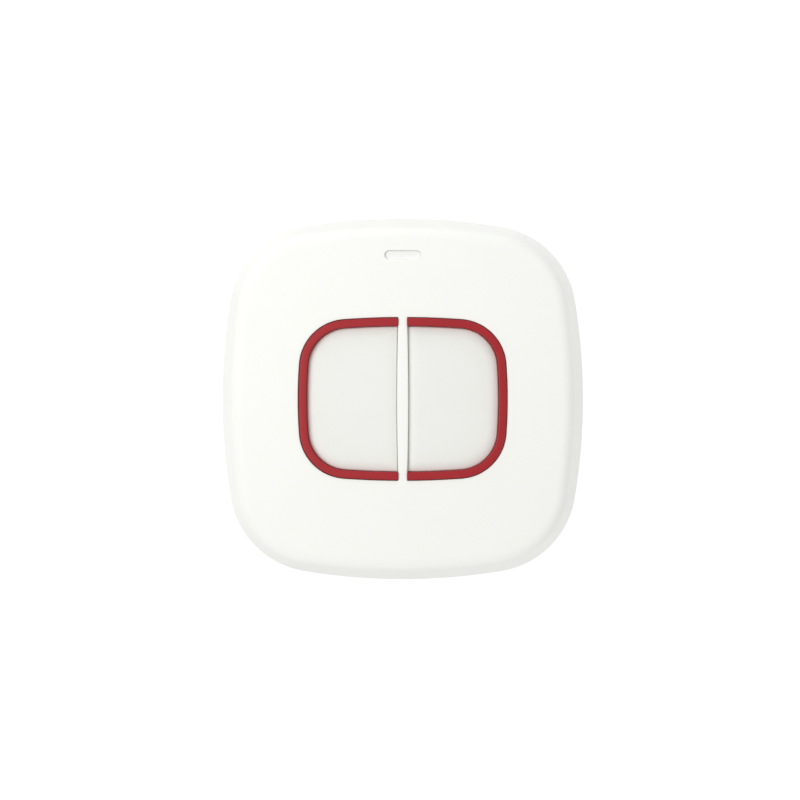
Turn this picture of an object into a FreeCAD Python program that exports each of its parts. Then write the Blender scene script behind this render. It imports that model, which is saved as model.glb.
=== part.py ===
"""Wireless panic button with two press pads, lying on its back, +Z out of the pads."""

import FreeCAD, Part
import math
import os
import Sketcher

# Driving sizes in millimetres: name, value, meaning.
SIZES = (
    ("body_width", "62", "overall size across the left and right sides"),
    ("body_height", "62", "overall size across the top and bottom sides"),
    ("body_side_radius", "103", "radius of the bowed sides"),
    ("body_corner_radius", "15.3", "radius of the rounded corners"),
    ("depth", "17", "back face to the crown of the front"),
    ("parting_level", "6", "height of the joint between the two covers"),
    ("crown_radius", "170", "radius of the domed front"),
    ("front_taper", "2.4", "how far the front cover narrows from its foot to the crown's height"),
    ("front_edge_radius", "2.5", "rounding where the domed front rolls into the side"),
    ("rear_taper", "2.6", "how far the rear cover narrows towards the back face"),
    ("rear_edge_radius", "1.8", "rounding round the back face"),
    ("parting_chamfer", "0.2", "bevel on each cover's edge that forms the parting line"),
    ("cover_wall", "1.6", "wall of the front cover"),
    ("rear_floor", "1.6", "thickness of the rear cover's floor"),
    ("seal_gap", "0.2", "room between the front cover's wall and the seal"),
    ("seal_width", "0.5", "width of the housing seal"),
    ("seal_height", "0.8", "height of the housing seal"),
    ("lip_clearance", "0.05", "room between the seal and the lip"),
    ("lip_thickness", "0.7", "thickness of the rear cover's lip"),
    ("lip_height", "1.2", "how far the lip stands above the parting line"),
    ("ring_width", "35.64", "red ring across its left and right sides"),
    ("ring_height", "27.74", "red ring across its top and bottom sides"),
    ("ring_side_radius", "83", "radius of the ring's bowed left and right sides"),
    ("ring_top_radius", "140.3", "radius of the ring's bowed top and bottom sides"),
    ("ring_corner_radius", "8.1", "radius of the ring's corners"),
    ("ring_band", "1.36", "width of the red band"),
    ("ring_proud", "0.25", "how far the ring stands out of the domed front"),
    ("ring_edge_radius", "0.35", "rounding of the ring's two upper edges"),
    ("ring_seam", "0.12", "gap between the ring and the front cover"),
    ("ring_flange_reach", "2", "how far the ring's flange reaches under the cover"),
    ("ring_flange_thickness", "0.8", "thickness of the ring's flange"),
    ("collar_width", "2.6", "width of the front cover's flat land round the ring"),
    ("bar_height", "3.4", "crown to the underside of the divider bar"),
    ("bar_width", "1.55", "divider bar where it crosses the ring's outer edge"),
    ("bar_bow", "0.2", "how far each side of the divider bar bulges at its middle"),
    ("bar_edge_radius", "0.3", "rounding of the divider bar's upper edges"),
    ("bar_setback", "0.03", "crown of the divider bar below the front's crown"),
    ("bar_clearance", "0.03", "gap between the ring's notch and the divider bar"),
    ("stake_radius", "0.6", "heat stakes that hold the ring"),
    ("stake_clearance", "0.1", "radial room of a stake in the ring's flange"),
    ("stake_head_radius", "1", "melted head of a stake"),
    ("stake_head_height", "0.5", "height of a stake's melted head"),
    ("stake_reach", "1.05", "how far outside the ring the stakes stand"),
    ("button_gap", "0.12", "gap from a button to the ring and to the divider bar"),
    ("button_recess", "0.55", "button crown below the front's crown"),
    ("button_crown_radius", "150", "radius of the domed buttons"),
    ("button_edge_radius", "0.5", "rounding of a button's upper edge"),
    ("button_wall", "1.3", "wall of a button"),
    ("button_flange_reach", "0.9", "how far a button's flange reaches under the ring"),
    ("button_flange_thickness", "0.8", "thickness of a button's flange"),
    ("button_split", "0.5", "gap between the two buttons' flanges under the bar"),
    ("stem_radius", "2.1", "boss under a button that works the switch"),
    ("rib_width", "0.8", "thickness of the ribs under a button"),
    ("rib_depth", "1.2", "how far the ribs stand below a button's inner face"),
    ("return_pad_width", "1.2", "width of a silicone return pad"),
    ("return_pad_inset", "0.1", "return pad inside the edge of a button's flange"),
    ("switch_offset", "8.9", "centre line to a switch's centre"),
    ("switch_width", "6", "sides of a switch's square body"),
    ("switch_height", "2.4", "height of a switch's body"),
    ("switch_corner", "0.8", "bevel of a switch's corners"),
    ("plunger_radius", "1.7", "radius of a switch's plunger"),
    ("plunger_height", "0.7", "how far a plunger stands out of its switch"),
    ("plunger_depth", "0.6", "how far a plunger reaches into its switch"),
    ("plunger_room", "0.6", "free depth below a plunger for its stroke"),
    ("plunger_clearance", "0.05", "radial clearance of a plunger in its switch"),
    ("slot_length", "6.2", "indicator slot in the front"),
    ("slot_width", "1.5", "width of the indicator slot"),
    ("slot_edge", "6.38", "top side of the body to the middle of the indicator slot"),
    ("window_recess", "0.3", "window below the front's surface"),
    ("window_clearance", "0.05", "gap round the window in its slot"),
    ("window_flange_reach", "0.8", "window's flange beyond its slot"),
    ("window_flange_thickness", "0.6", "thickness of the window's flange"),
    ("window_land_reach", "0.4", "flat land beyond the window's flange"),
    ("window_land_drop", "1.95", "front's surface at the slot to the flat land over the window's flange"),
    ("pipe_inset", "0.2", "light pipe inside the window's outline"),
    ("pipe_gap", "0.2", "light pipe above the indicator chip"),
    ("lamp_length", "1.6", "indicator chip"),
    ("lamp_width", "0.8", "width of the indicator chip"),
    ("lamp_height", "0.5", "height of the indicator chip"),
    ("lamp_lens_height", "0.3", "height of the clear part of the indicator chip"),
    ("lamp_lens_length", "1.2", "length of the clear part of the indicator chip"),
    ("board_inset", "4", "circuit board inside the body's outline"),
    ("board_thickness", "1", "thickness of the circuit board"),
    ("board_boss_gap", "0.25", "room between a board boss and the ring's flange"),
    ("board_boss_radius", "1.9", "bosses that carry the board"),
    ("board_screw_radius", "0.9", "shank of a board screw"),
    ("board_screw_length", "3.4", "length of a board screw's shank"),
    ("board_screw_head_radius", "1.6", "head of a board screw"),
    ("board_screw_head_height", "1.2", "height of a board screw's head"),
    ("case_boss_edge", "10.5", "sides of the body to a case screw"),
    ("case_boss_radius", "2.6", "bosses for the case screws"),
    ("case_boss_level", "7", "height where the covers' bosses meet"),
    ("case_boss_room", "0.5", "board's cut-out beyond a case screw's boss"),
    ("case_screw_radius", "1.1", "shank of a case screw"),
    ("case_screw_length", "9", "length of a case screw's shank"),
    ("case_screw_head_radius", "1.9", "head of a case screw"),
    ("case_screw_head_height", "1.5", "height of a case screw's head"),
    ("case_screw_recess", "2.2", "depth of the counterbore for a case screw's head"),
    ("screw_clearance", "0.06", "radial room round a screw's shank"),
    ("head_clearance", "0.2", "radial room round a screw's head"),
    ("drive_length", "2", "arms of a screw's cross recess"),
    ("drive_width", "0.5", "width of a screw's cross recess"),
    ("drive_depth", "0.7", "depth of a screw's cross recess"),
    ("cell_radius", "12.25", "radius of the coin cell"),
    ("cell_thickness", "5", "thickness of the coin cell"),
    ("cell_step", "1.3", "width of the cell's rolled rim on its negative side"),
    ("cell_step_depth", "0.4", "height of the cell's rolled rim on its negative side"),
    ("cell_edge_radius", "0.5", "rounding of the cell's can"),
    ("cell_clearance", "0.1", "room between the cell and the battery door"),
    ("contact_space", "0.65", "room for the spring contact above the cell"),
    ("contact_thickness", "0.25", "sheet of the battery contacts"),
    ("contact_width", "4", "width of the battery contacts"),
    ("negative_base", "3.6", "length of the negative contact's soldered base"),
    ("negative_reach", "4.2", "length of the negative contact's spring arm"),
    ("negative_slope", "2.9", "length of the sloping part of the spring arm"),
    ("positive_foot", "2.6", "length of the positive contact's soldered foot"),
    ("positive_drop", "1.2", "positive contact's lower end above the cell's lower face"),
    ("holder_clearance", "0.3", "radial room of the cell in its holder"),
    ("holder_wall", "1.6", "wall of the battery holder"),
    ("holder_lift", "0.3", "holder's foot above the cell's lower face"),
    ("holder_notch", "0.5", "holder's notch beyond each side of the positive contact"),
    ("door_land_thickness", "2.4", "rear cover round the battery door"),
    ("door_land_width", "2", "ring of thicker floor outside the door's recess"),
    ("cell_passage", "0.35", "radial room of the cell in the battery door's hub"),
    ("door_ledge", "2", "door's rim beyond its hub"),
    ("door_gap", "0.2", "radial gap round the battery door's plate"),
    ("door_setback", "0.2", "door's outer face above the back face"),
    ("door_plate", "0.8", "thickness of the door's rim"),
    ("door_disc", "1.6", "thickness of the door's middle"),
    ("door_hub_wall", "1.3", "wall of the hub"),
    ("door_clearance", "0.08", "radial clearance of the hub"),
    ("door_tab_reach", "1.5", "bayonet tabs beyond the hub"),
    ("door_tab_angle", "30", "width of a bayonet tab in degrees"),
    ("door_tab_thickness", "0.8", "thickness of a bayonet tab"),
    ("door_tab_clearance", "0.1", "room under a bayonet tab"),
    ("door_tab_room", "0.3", "entry notch beyond a tab's tip"),
    ("door_tab_slack", "3", "entry notch beyond each side of a tab in degrees"),
    ("door_turn", "45", "turn from locked to open in degrees"),
    ("coin_slot_length", "15", "coin slot in the battery door"),
    ("coin_slot_width", "1.8", "width of the coin slot"),
    ("coin_slot_depth", "0.9", "depth of the coin slot"),
    ("door_seal_height", "0.5", "thickness of the door's seal"),
    ("door_seal_inset", "0.3", "door's seal inside the edge of the plate"),
    ("module_length", "12", "radio module"),
    ("module_width", "8", "width of the radio module"),
    ("module_gap", "0.6", "red ring's lower edge to the radio module"),
    ("module_board", "0.6", "thickness of the radio module's own board"),
    ("shield_height", "1.4", "height of the radio module's shield"),
    ("shield_margin", "0.6", "shield inside the edge of the module's board"),
    ("shield_wall", "0.25", "sheet of the shield"),
    ("chip_side", "5", "sides of the controller chip"),
    ("chip_height", "0.9", "height of the controller chip"),
    ("chip_across", "9", "centre line to the controller chip"),
    ("chip_gap", "2", "red ring's upper edge to the controller chip"),
    ("crystal_length", "3.2", "crystal"),
    ("crystal_width", "2.5", "width of the crystal"),
    ("crystal_height", "0.8", "height of the crystal"),
    ("crystal_across", "3", "centre line to the crystal"),
    ("chip_part_length", "2", "small chip parts on the board"),
    ("chip_part_width", "1.25", "width of a small chip part"),
    ("chip_part_height", "0.8", "height of a small chip part"),
    ("chip_part_pitch", "2.6", "spacing of the small chip parts"),
    ("chip_part_across", "5.5", "centre line to the first small chip part"),
    ("antenna_length", "22", "antenna strip"),
    ("antenna_width", "1.4", "width of the antenna strip"),
    ("antenna_sheet", "0.4", "sheet of the antenna"),
    ("antenna_drop", "4.95", "crown to the antenna strip's underside"),
    ("antenna_edge", "6.4", "lower side of the body to the antenna"),
    ("antenna_feed", "4", "spacing of the antenna's two legs"),
)

# Heights that follow from the driving sizes.
CROWN_CENTRE = "(sizes.depth - sizes.crown_radius)"
COLLAR = "(sizes.depth - sizes.bar_height)"
GUIDE_FOOT = f"({COLLAR} - sizes.ring_flange_thickness)"
FLANGE_FOOT = f"({GUIDE_FOOT} - sizes.button_flange_thickness)"
BUTTON_CROWN = "(sizes.depth - sizes.button_recess)"
BUTTON_CENTRE = f"({BUTTON_CROWN} - sizes.button_crown_radius)"
TAB_FOOT = "(sizes.door_land_thickness + sizes.door_tab_clearance)"
TAB_TOP = f"({TAB_FOOT} + sizes.door_tab_thickness)"
CELL_FOOT = f"({TAB_TOP} + sizes.cell_clearance)"
CELL_TOP = f"({CELL_FOOT} + sizes.cell_thickness)"
BOARD_FOOT = f"({CELL_TOP} + sizes.contact_space)"
BOARD_TOP = f"({BOARD_FOOT} + sizes.board_thickness)"
SWITCH_TOP = f"({BOARD_TOP} + sizes.switch_height)"
PLUNGER_TOP = f"({SWITCH_TOP} + sizes.plunger_height)"
DOOR_PLATE_TOP = "(sizes.door_setback + sizes.door_plate)"
DOOR_SEAT = f"({DOOR_PLATE_TOP} + sizes.door_seal_height)"
ANTENNA_FOOT = "(sizes.depth - sizes.antenna_drop)"

# Distances from the middle of the body.
SLOT_Y = "(sizes.body_height / 2 - sizes.slot_edge)"
SLOT_CROWN = f"({CROWN_CENTRE} + sqrt(sizes.crown_radius ^ 2 - {SLOT_Y} ^ 2))"
WINDOW_LAND = f"({SLOT_CROWN} - sizes.window_land_drop)"
WINDOW_FOOT = f"({WINDOW_LAND} - sizes.window_flange_thickness)"
MODULE_Y = "(-sizes.ring_height / 2 - sizes.module_gap - sizes.module_width / 2)"
CHIP_Y = "(sizes.ring_height / 2 + sizes.chip_gap + sizes.chip_side / 2)"
ANTENNA_Y = "(sizes.antenna_edge - sizes.body_height / 2)"
CASE_SCREW_X = "(sizes.body_width / 2 - sizes.case_boss_edge)"
CASE_SCREW_Y = "(sizes.body_height / 2 - sizes.case_boss_edge)"
FLANGE_EDGE = "(sizes.ring_width / 2 + sizes.ring_flange_reach)"
BOARD_SCREW_X = f"({FLANGE_EDGE} + sizes.board_boss_gap + sizes.board_boss_radius)"
HUB_RADIUS = "(sizes.cell_radius + sizes.cell_passage)"
DOOR_RADIUS = f"({HUB_RADIUS} + sizes.door_ledge)"

# Insets from the body's or the ring's outline.
SEAL_INSET = "(sizes.cover_wall + sizes.seal_gap)"
LIP_INSET = f"({SEAL_INSET} + sizes.seal_width + sizes.lip_clearance)"
REAR_INSET = f"({LIP_INSET} + sizes.lip_thickness)"
BUTTON_INSET = "(sizes.ring_band + sizes.button_gap)"
BUTTON_SIDE = "(sizes.bar_width / 2 + sizes.bar_bow + sizes.button_gap)"
HOLE_RADIUS = f"({HUB_RADIUS} + sizes.door_clearance)"

BODY_SHAPE = {
    "half_x": "sizes.body_width / 2",
    "half_y": "sizes.body_height / 2",
    "side": "sizes.body_side_radius",
    "top": "sizes.body_side_radius",
    "corner": "sizes.body_corner_radius",
}
RING_SHAPE = {
    "half_x": "sizes.ring_width / 2",
    "half_y": "sizes.ring_height / 2",
    "side": "sizes.ring_side_radius",
    "top": "sizes.ring_top_radius",
    "corner": "sizes.ring_corner_radius",
}

SIDES = (("left", -1), ("right", 1))
CORNERS = ((-1, -1), (1, -1), (1, 1), (-1, 1))
TAB_ANGLES = ("90", "210", "330")  # bayonet tabs of the battery door, in degrees
SMALL_CHIPS = 4
ANTENNA_LEGS = 2
POINT_RATIO = "0.35"  # radius at a screw's tip over its shank's
MARGIN = "1"  # how far a cutting tool runs past what it cuts
REACH = "sizes.body_width"  # far enough from the centre to clear the body
LID = "sizes.body_width / 4"  # how far above the crown a dome cut reaches
DOME_SWEEP = 60  # turn of a dome's cutting profile in degrees
SLACK = 1e-4  # millimetres within which two levels count as one
START, END, CENTRE = 1, 2, 3  # a sketch line's or arc's points
ORIGIN, X_AXIS, Y_AXIS = -1, -1, -2  # a sketch's fixed geometry
UP = FreeCAD.Vector(0, 0, 1)

doc = FreeCAD.newDocument("panic_button")
sizes = doc.addObject("Spreadsheet::Sheet", "sizes")
sub_parts = []


def fill_sheet():
    for row, (name, value, meaning) in enumerate(SIZES, start=1):
        sizes.set(f"A{row}", name)
        sizes.set(f"B{row}", value)
        sizes.set(f"C{row}", meaning)
        sizes.setAlias(f"B{row}", name)
    doc.recompute()


def value(expression):
    return float(sizes.evalExpression(expression.replace("sizes.", "")))


def keep(item, label):
    item.Label = label
    sub_parts.append(item)
    return item


def origin_plane(body, role):
    return next(plane for plane in body.Origin.OriginFeatures if plane.Role == role)


def body_sketch(body, name, level="0", plane="XY_Plane"):
    sketch = body.newObject("Sketcher::SketchObject", name)
    sketch.AttachmentSupport = (origin_plane(body, plane), [""])
    sketch.MapMode = "FlatFace"
    sketch.setExpression("AttachmentOffset.Base.z", level)
    return sketch


def free_sketch(name, level="0", upright=False):
    sketch = doc.addObject("Sketcher::SketchObject", name)
    if upright:
        turn = FreeCAD.Rotation(FreeCAD.Vector(1, 0, 0), 90)
        sketch.Placement = FreeCAD.Placement(FreeCAD.Vector(0, 0, 0), turn)
    else:
        sketch.setExpression("Placement.Base.z", level)
    return sketch


def constrain(sketch, name, constraint, expression):
    number = sketch.addConstraint(constraint)
    sketch.renameConstraint(number, name)
    sketch.setExpression(f"Constraints.{name}", expression)


def draw_outline(sketch, shape, inset="0"):
    """Rounded square of eight tangent arcs, drawn inset from its nominal outline."""
    half_x, half_y = value(shape["half_x"]), value(shape["half_y"])
    side, top, corner = value(shape["side"]), value(shape["top"]), value(shape["corner"])
    step = value(inset)
    side_x, top_y = half_x - side, half_y - top
    span = math.hypot(side_x, top_y)
    along = ((side - corner) ** 2 - (top - corner) ** 2 + span**2) / (2 * span)
    off = math.sqrt((side - corner) ** 2 - along**2)
    corner_x = side_x - along * side_x / span - off * top_y / span
    corner_y = along * top_y / span - off * side_x / span
    low = math.atan2(corner_y, corner_x - side_x)
    high = math.atan2(corner_y - top_y, corner_x)
    arcs = (
        (side_x, 0, "side", -low, low),
        (corner_x, corner_y, "corner", low, high),
        (0, top_y, "top", high, math.pi - high),
        (-corner_x, corner_y, "corner", math.pi - high, math.pi - low),
        (-side_x, 0, "side", math.pi - low, math.pi + low),
        (-corner_x, -corner_y, "corner", math.pi + low, math.pi + high),
        (0, -top_y, "top", math.pi + high, 2 * math.pi - high),
        (corner_x, -corner_y, "corner", -high, -low),
    )
    drawn = []
    for x, y, kind, start, end in arcs:
        circle = Part.Circle(FreeCAD.Vector(x, y, 0), UP, value(shape[kind]) - step)
        drawn.append(sketch.addGeometry(Part.ArcOfCircle(circle, start, end), False))
    for arc, following in zip(drawn, drawn[1:] + drawn[:1]):
        sketch.addConstraint(Sketcher.Constraint("Tangent", arc, END, following, START))
    for arc in (drawn[0], drawn[4]):
        sketch.addConstraint(Sketcher.Constraint("PointOnObject", arc, CENTRE, X_AXIS))
    for arc in (drawn[2], drawn[6]):
        sketch.addConstraint(Sketcher.Constraint("PointOnObject", arc, CENTRE, Y_AXIS))
    reach_x = f"{shape['side']} - {shape['half_x']}"
    reach_y = f"{shape['top']} - {shape['half_y']}"
    places = (
        ("right", ("DistanceX", drawn[0], CENTRE, ORIGIN, START, -side_x), reach_x),
        ("left", ("DistanceX", ORIGIN, START, drawn[4], CENTRE, -side_x), reach_x),
        ("upper", ("DistanceY", drawn[2], CENTRE, ORIGIN, START, -top_y), reach_y),
        ("lower", ("DistanceY", ORIGIN, START, drawn[6], CENTRE, -top_y), reach_y),
    )
    for name, terms, expression in places:
        constrain(sketch, name, Sketcher.Constraint(*terms), expression)
    for arc, (_, _, kind, _, _) in zip(drawn, arcs):
        radius = f"{shape[kind]} - ({inset})"
        constraint = Sketcher.Constraint("Radius", arc, value(radius))
        constrain(sketch, f"{kind}_{arc}", constraint, radius)


def draw_pill(sketch, centre_y, length, width):
    """Slot with round ends along X, centred across the body."""
    y = value(centre_y)
    radius = value(width) / 2
    half = value(length) / 2 - radius
    centres = (FreeCAD.Vector(half, y, 0), FreeCAD.Vector(-half, y, 0))
    rise = FreeCAD.Vector(0, radius, 0)
    quarter = math.pi / 2
    right = sketch.addGeometry(Part.ArcOfCircle(Part.Circle(centres[0], UP, radius), -quarter, quarter))
    left = sketch.addGeometry(Part.ArcOfCircle(Part.Circle(centres[1], UP, radius), quarter, 3 * quarter))
    upper = sketch.addGeometry(Part.LineSegment(centres[0] + rise, centres[1] + rise))
    lower = sketch.addGeometry(Part.LineSegment(centres[1] - rise, centres[0] - rise))
    around = (right, upper, left, lower)
    for first, second in zip(around, around[1:] + around[:1]):
        sketch.addConstraint(Sketcher.Constraint("Tangent", first, END, second, START))
    sketch.addConstraint(Sketcher.Constraint("Horizontal", upper))
    constrain(sketch, "radius", Sketcher.Constraint("Radius", right, radius), f"{width} / 2")
    ends = f"{length} / 2 - {width} / 2"
    places = (
        ("right_end", ("DistanceX", ORIGIN, START, right, CENTRE, half), ends),
        ("left_end", ("DistanceX", left, CENTRE, ORIGIN, START, half), ends),
        ("height", ("DistanceY", ORIGIN, START, right, CENTRE, y), centre_y),
    )
    for name, terms, expression in places:
        constrain(sketch, name, Sketcher.Constraint(*terms), expression)


def draw_polygon(sketch, points):
    """Closed straight-sided profile; each corner is a pair of expressions."""
    corners = [FreeCAD.Vector(value(x), value(y), 0) for x, y in points]
    lines = []
    for start, end in zip(corners, corners[1:] + corners[:1]):
        lines.append(sketch.addGeometry(Part.LineSegment(start, end), False))
    for line, following in zip(lines, lines[1:] + lines[:1]):
        sketch.addConstraint(Sketcher.Constraint("Coincident", line, END, following, START))
    for line, corner, (x, y) in zip(lines, corners, points):
        across = Sketcher.Constraint("DistanceX", ORIGIN, START, line, START, corner.x)
        constrain(sketch, f"x_{line}", across, x)
        upward = Sketcher.Constraint("DistanceY", ORIGIN, START, line, START, corner.y)
        constrain(sketch, f"y_{line}", upward, y)


def extrude(name, sketch, length, both_ways=False):
    item = doc.addObject("Part::Extrusion", name)
    item.Base = sketch
    item.DirMode = "Normal"
    item.Solid = True
    item.Symmetric = both_ways
    item.setExpression("LengthFwd", length)
    return item


def outline_block(name, shape, inset, foot, top):
    sketch = free_sketch(f"{name}_sketch", foot)
    draw_outline(sketch, shape, inset)
    return extrude(name, sketch, f"{top} - {foot}")


def pill_block(name, centre_y, length, width, foot, top):
    sketch = free_sketch(f"{name}_sketch", foot)
    draw_pill(sketch, centre_y, length, width)
    return extrude(name, sketch, f"{top} - {foot}")


def cylinder(name, x, y, foot, top, radius):
    item = doc.addObject("Part::Cylinder", name)
    item.setExpression("Radius", radius)
    item.setExpression("Height", f"{top} - {foot}")
    item.setExpression("Placement.Base.x", x)
    item.setExpression("Placement.Base.y", y)
    item.setExpression("Placement.Base.z", foot)
    return item


def block(name, x, y, foot, length, width, top):
    """Box centred on x and y, between two heights."""
    item = doc.addObject("Part::Box", name)
    item.setExpression("Length", length)
    item.setExpression("Width", width)
    item.setExpression("Height", f"{top} - {foot}")
    item.setExpression("Placement.Base.x", f"{x} - {length} / 2")
    item.setExpression("Placement.Base.y", f"{y} - {width} / 2")
    item.setExpression("Placement.Base.z", foot)
    return item


def ball(name, centre, radius):
    """Sphere above the body's centre, with its poles turned away from the crown."""
    item = doc.addObject("Part::Sphere", name)
    item.Placement.Rotation = FreeCAD.Rotation(FreeCAD.Vector(1, 0, 0), 90)
    item.setExpression("Radius", radius)
    item.setExpression("Placement.Base.z", centre)
    return item


def cut(name, base, tool):
    item = doc.addObject("Part::Cut", name)
    item.Base = base
    item.Tool = tool
    return item


def fuse(name, items):
    item = doc.addObject("Part::MultiFuse", name)
    item.Shapes = list(items)
    return item


def common(name, items):
    item = doc.addObject("Part::MultiCommon", name)
    item.Shapes = list(items)
    return item


def group(name, items):
    item = doc.addObject("Part::Compound", name)
    item.Links = list(items)
    return item


def round_edges(name, base, radius, chosen):
    """Part fillet on the edges for which chosen(edge) holds."""
    doc.recompute()
    item = doc.addObject("Part::Fillet", name)
    item.Base = base
    size = value(radius)
    numbers = [number for number, edge in enumerate(base.Shape.Edges, start=1) if chosen(edge)]
    item.Edges = [(number, size, size) for number in numbers]
    return item


def edges_of(feature, chosen):
    doc.recompute()
    return [f"Edge{number}" for number, edge in enumerate(feature.Shape.Edges, start=1) if chosen(edge)]


def lies_at(edge, level):
    box = edge.BoundBox
    return abs(box.ZMin - level) < SLACK and abs(box.ZMax - level) < SLACK


def tapered_body(name, wide_level, wide_inset, narrow_level, narrow_inset):
    """PartDesign body lofted from a wide to a narrow outline of the body."""
    body = doc.addObject("PartDesign::Body", name)
    wide = body_sketch(body, f"{name}_wide", wide_level)
    draw_outline(wide, BODY_SHAPE, wide_inset)
    narrow = body_sketch(body, f"{name}_narrow", narrow_level)
    draw_outline(narrow, BODY_SHAPE, narrow_inset)
    loft = body.newObject("PartDesign::AdditiveLoft", f"{name}_loft")
    loft.Profile = wide
    loft.Sections = [narrow]
    loft.Ruled = True
    return body


def dome(body, crown, radius):
    """Removes everything above a sphere whose highest point is at the crown."""
    name = body.Name
    sketch = body_sketch(body, f"{name}_dome_profile", plane="XZ_Plane")
    top, size, reach = value(crown), value(radius), value(REACH)
    lid_level = f"(sizes.depth + {LID})"
    lid = value(lid_level)
    hub = top - size
    edge = hub + math.sqrt(size**2 - reach**2)
    start = math.atan2(edge - hub, reach)
    circle = Part.Circle(FreeCAD.Vector(0, hub, 0), UP, size)
    axis_ends = (FreeCAD.Vector(-reach, hub, 0), FreeCAD.Vector(reach, hub, 0))
    axis = sketch.addGeometry(Part.LineSegment(*axis_ends), True)
    arc = sketch.addGeometry(Part.ArcOfCircle(circle, start, math.pi - start), False)
    corners = ((-reach, edge), (-reach, lid), (reach, lid), (reach, edge))
    points = [FreeCAD.Vector(x, z, 0) for x, z in corners]
    left, ceiling, right = (
        sketch.addGeometry(Part.LineSegment(first, second), False)
        for first, second in zip(points, points[1:])
    )
    around = (arc, left, ceiling, right)
    for first, second in zip(around, around[1:] + around[:1]):
        sketch.addConstraint(Sketcher.Constraint("Coincident", first, END, second, START))
    sketch.addConstraint(Sketcher.Constraint("PointOnObject", arc, CENTRE, Y_AXIS))
    sketch.addConstraint(Sketcher.Constraint("Symmetric", axis, START, axis, END, arc, CENTRE))
    sketch.addConstraint(Sketcher.Constraint("Horizontal", axis))
    sketch.addConstraint(Sketcher.Constraint("Vertical", left))
    sketch.addConstraint(Sketcher.Constraint("Vertical", right))
    sketch.addConstraint(Sketcher.Constraint("Symmetric", left, END, right, START, Y_AXIS))
    sketch.addConstraint(Sketcher.Constraint("Vertical", axis, END, right, START))
    constrain(sketch, "radius", Sketcher.Constraint("Radius", arc, size), radius)
    places = (
        ("centre", ("DistanceY", arc, CENTRE, ORIGIN, START, -hub), f"{radius} - {crown}"),
        ("lid", ("DistanceY", ORIGIN, START, left, END, lid), lid_level),
        ("reach", ("DistanceX", ORIGIN, START, right, START, reach), REACH),
    )
    for name_of_place, terms, expression in places:
        constrain(sketch, name_of_place, Sketcher.Constraint(*terms), expression)
    groove = body.newObject("PartDesign::Groove", f"{name}_dome")
    groove.Profile = sketch
    groove.ReferenceAxis = (sketch, ["Axis0"])
    groove.Midplane = True
    groove.Angle = DOME_SWEEP
    return groove


def bar_block(name, clearance, foot):
    """Upright prism of the divider bar's outline: it runs along Y and bulges at its middle."""
    sketch = free_sketch(f"{name}_sketch", foot)
    half_span = "(sizes.ring_height / 2)"
    bow_radius = f"(({half_span} ^ 2 / sizes.bar_bow + sizes.bar_bow) / 2)"
    widest = f"(sizes.bar_width / 2 + sizes.bar_bow + {clearance})"
    reach = f"({half_span} + {MARGIN})"
    radius, end_y = value(bow_radius), value(reach)
    hub_x = radius - value(widest)
    turn = math.asin(end_y / radius)
    end_x = radius * math.cos(turn) - hub_x
    circles = [Part.Circle(FreeCAD.Vector(x, 0, 0), UP, radius) for x in (-hub_x, hub_x)]
    right = sketch.addGeometry(Part.ArcOfCircle(circles[0], -turn, turn), False)
    left = sketch.addGeometry(Part.ArcOfCircle(circles[1], math.pi - turn, math.pi + turn), False)
    ends = [FreeCAD.Vector(x, y, 0) for x, y in ((end_x, end_y), (-end_x, end_y))]
    upper = sketch.addGeometry(Part.LineSegment(*ends), False)
    lower = sketch.addGeometry(Part.LineSegment(-ends[0], -ends[1]), False)
    joins = ((right, END, upper, START), (upper, END, left, START))
    joins += ((left, END, lower, START), (lower, END, right, START))
    for join in joins:
        sketch.addConstraint(Sketcher.Constraint("Coincident", *join))
    for arc in (right, left):
        sketch.addConstraint(Sketcher.Constraint("PointOnObject", arc, CENTRE, X_AXIS))
        constrain(sketch, f"bow_{arc}", Sketcher.Constraint("Radius", arc, radius), bow_radius)
    places = (
        ("right_hub", ("DistanceX", right, CENTRE, ORIGIN, START, hub_x), f"{bow_radius} - {widest}"),
        ("left_hub", ("DistanceX", ORIGIN, START, left, CENTRE, hub_x), f"{bow_radius} - {widest}"),
        ("upper_right", ("DistanceY", ORIGIN, START, upper, START, end_y), reach),
        ("upper_left", ("DistanceY", ORIGIN, START, upper, END, end_y), reach),
        ("lower_left", ("DistanceY", lower, START, ORIGIN, START, end_y), reach),
        ("lower_right", ("DistanceY", lower, END, ORIGIN, START, end_y), reach),
    )
    for name_of_place, terms, expression in places:
        constrain(sketch, name_of_place, Sketcher.Constraint(*terms), expression)
    return extrude(name, sketch, f"sizes.depth + {MARGIN} - {foot}")


def rounded_bar(name):
    """The divider bar as moulded, with its domed crown and rounded upper edges."""
    prism = bar_block(f"{name}_prism", "0", COLLAR)
    crown = ball(f"{name}_crown", CROWN_CENTRE, "(sizes.crown_radius - sizes.bar_setback)")
    domed = common(f"{name}_domed", (prism, crown))
    lowest, longest = value(COLLAR), value("sizes.ring_height")
    return round_edges(
        name,
        domed,
        "sizes.bar_edge_radius",
        lambda edge: edge.BoundBox.ZMin > lowest and edge.Length > longest,
    )


def half_block(name, sign, side, foot, top):
    """Everything on one side of the divider bar, beyond the given distance."""
    width = f"({REACH} - {side})"
    return block(name, f"{sign} * ({side} + {width} / 2)", "0", foot, width, REACH, top)


def button_block(name, sign, inset, side, foot, top):
    """D-shaped prism: the ring's outline, inset, on one side of the bar."""
    whole = outline_block(f"{name}_outline", RING_SHAPE, inset, foot, top)
    half = half_block(f"{name}_half", sign, side, foot, top)
    return common(name, (whole, half))


def stake_places():
    across = "(sizes.ring_width / 2 + sizes.stake_reach)"
    upward = "(sizes.ring_height / 2 + sizes.stake_reach)"
    return ((across, "0"), (f"-{across}", "0"), ("0", upward), ("0", f"-{upward}"))


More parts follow.
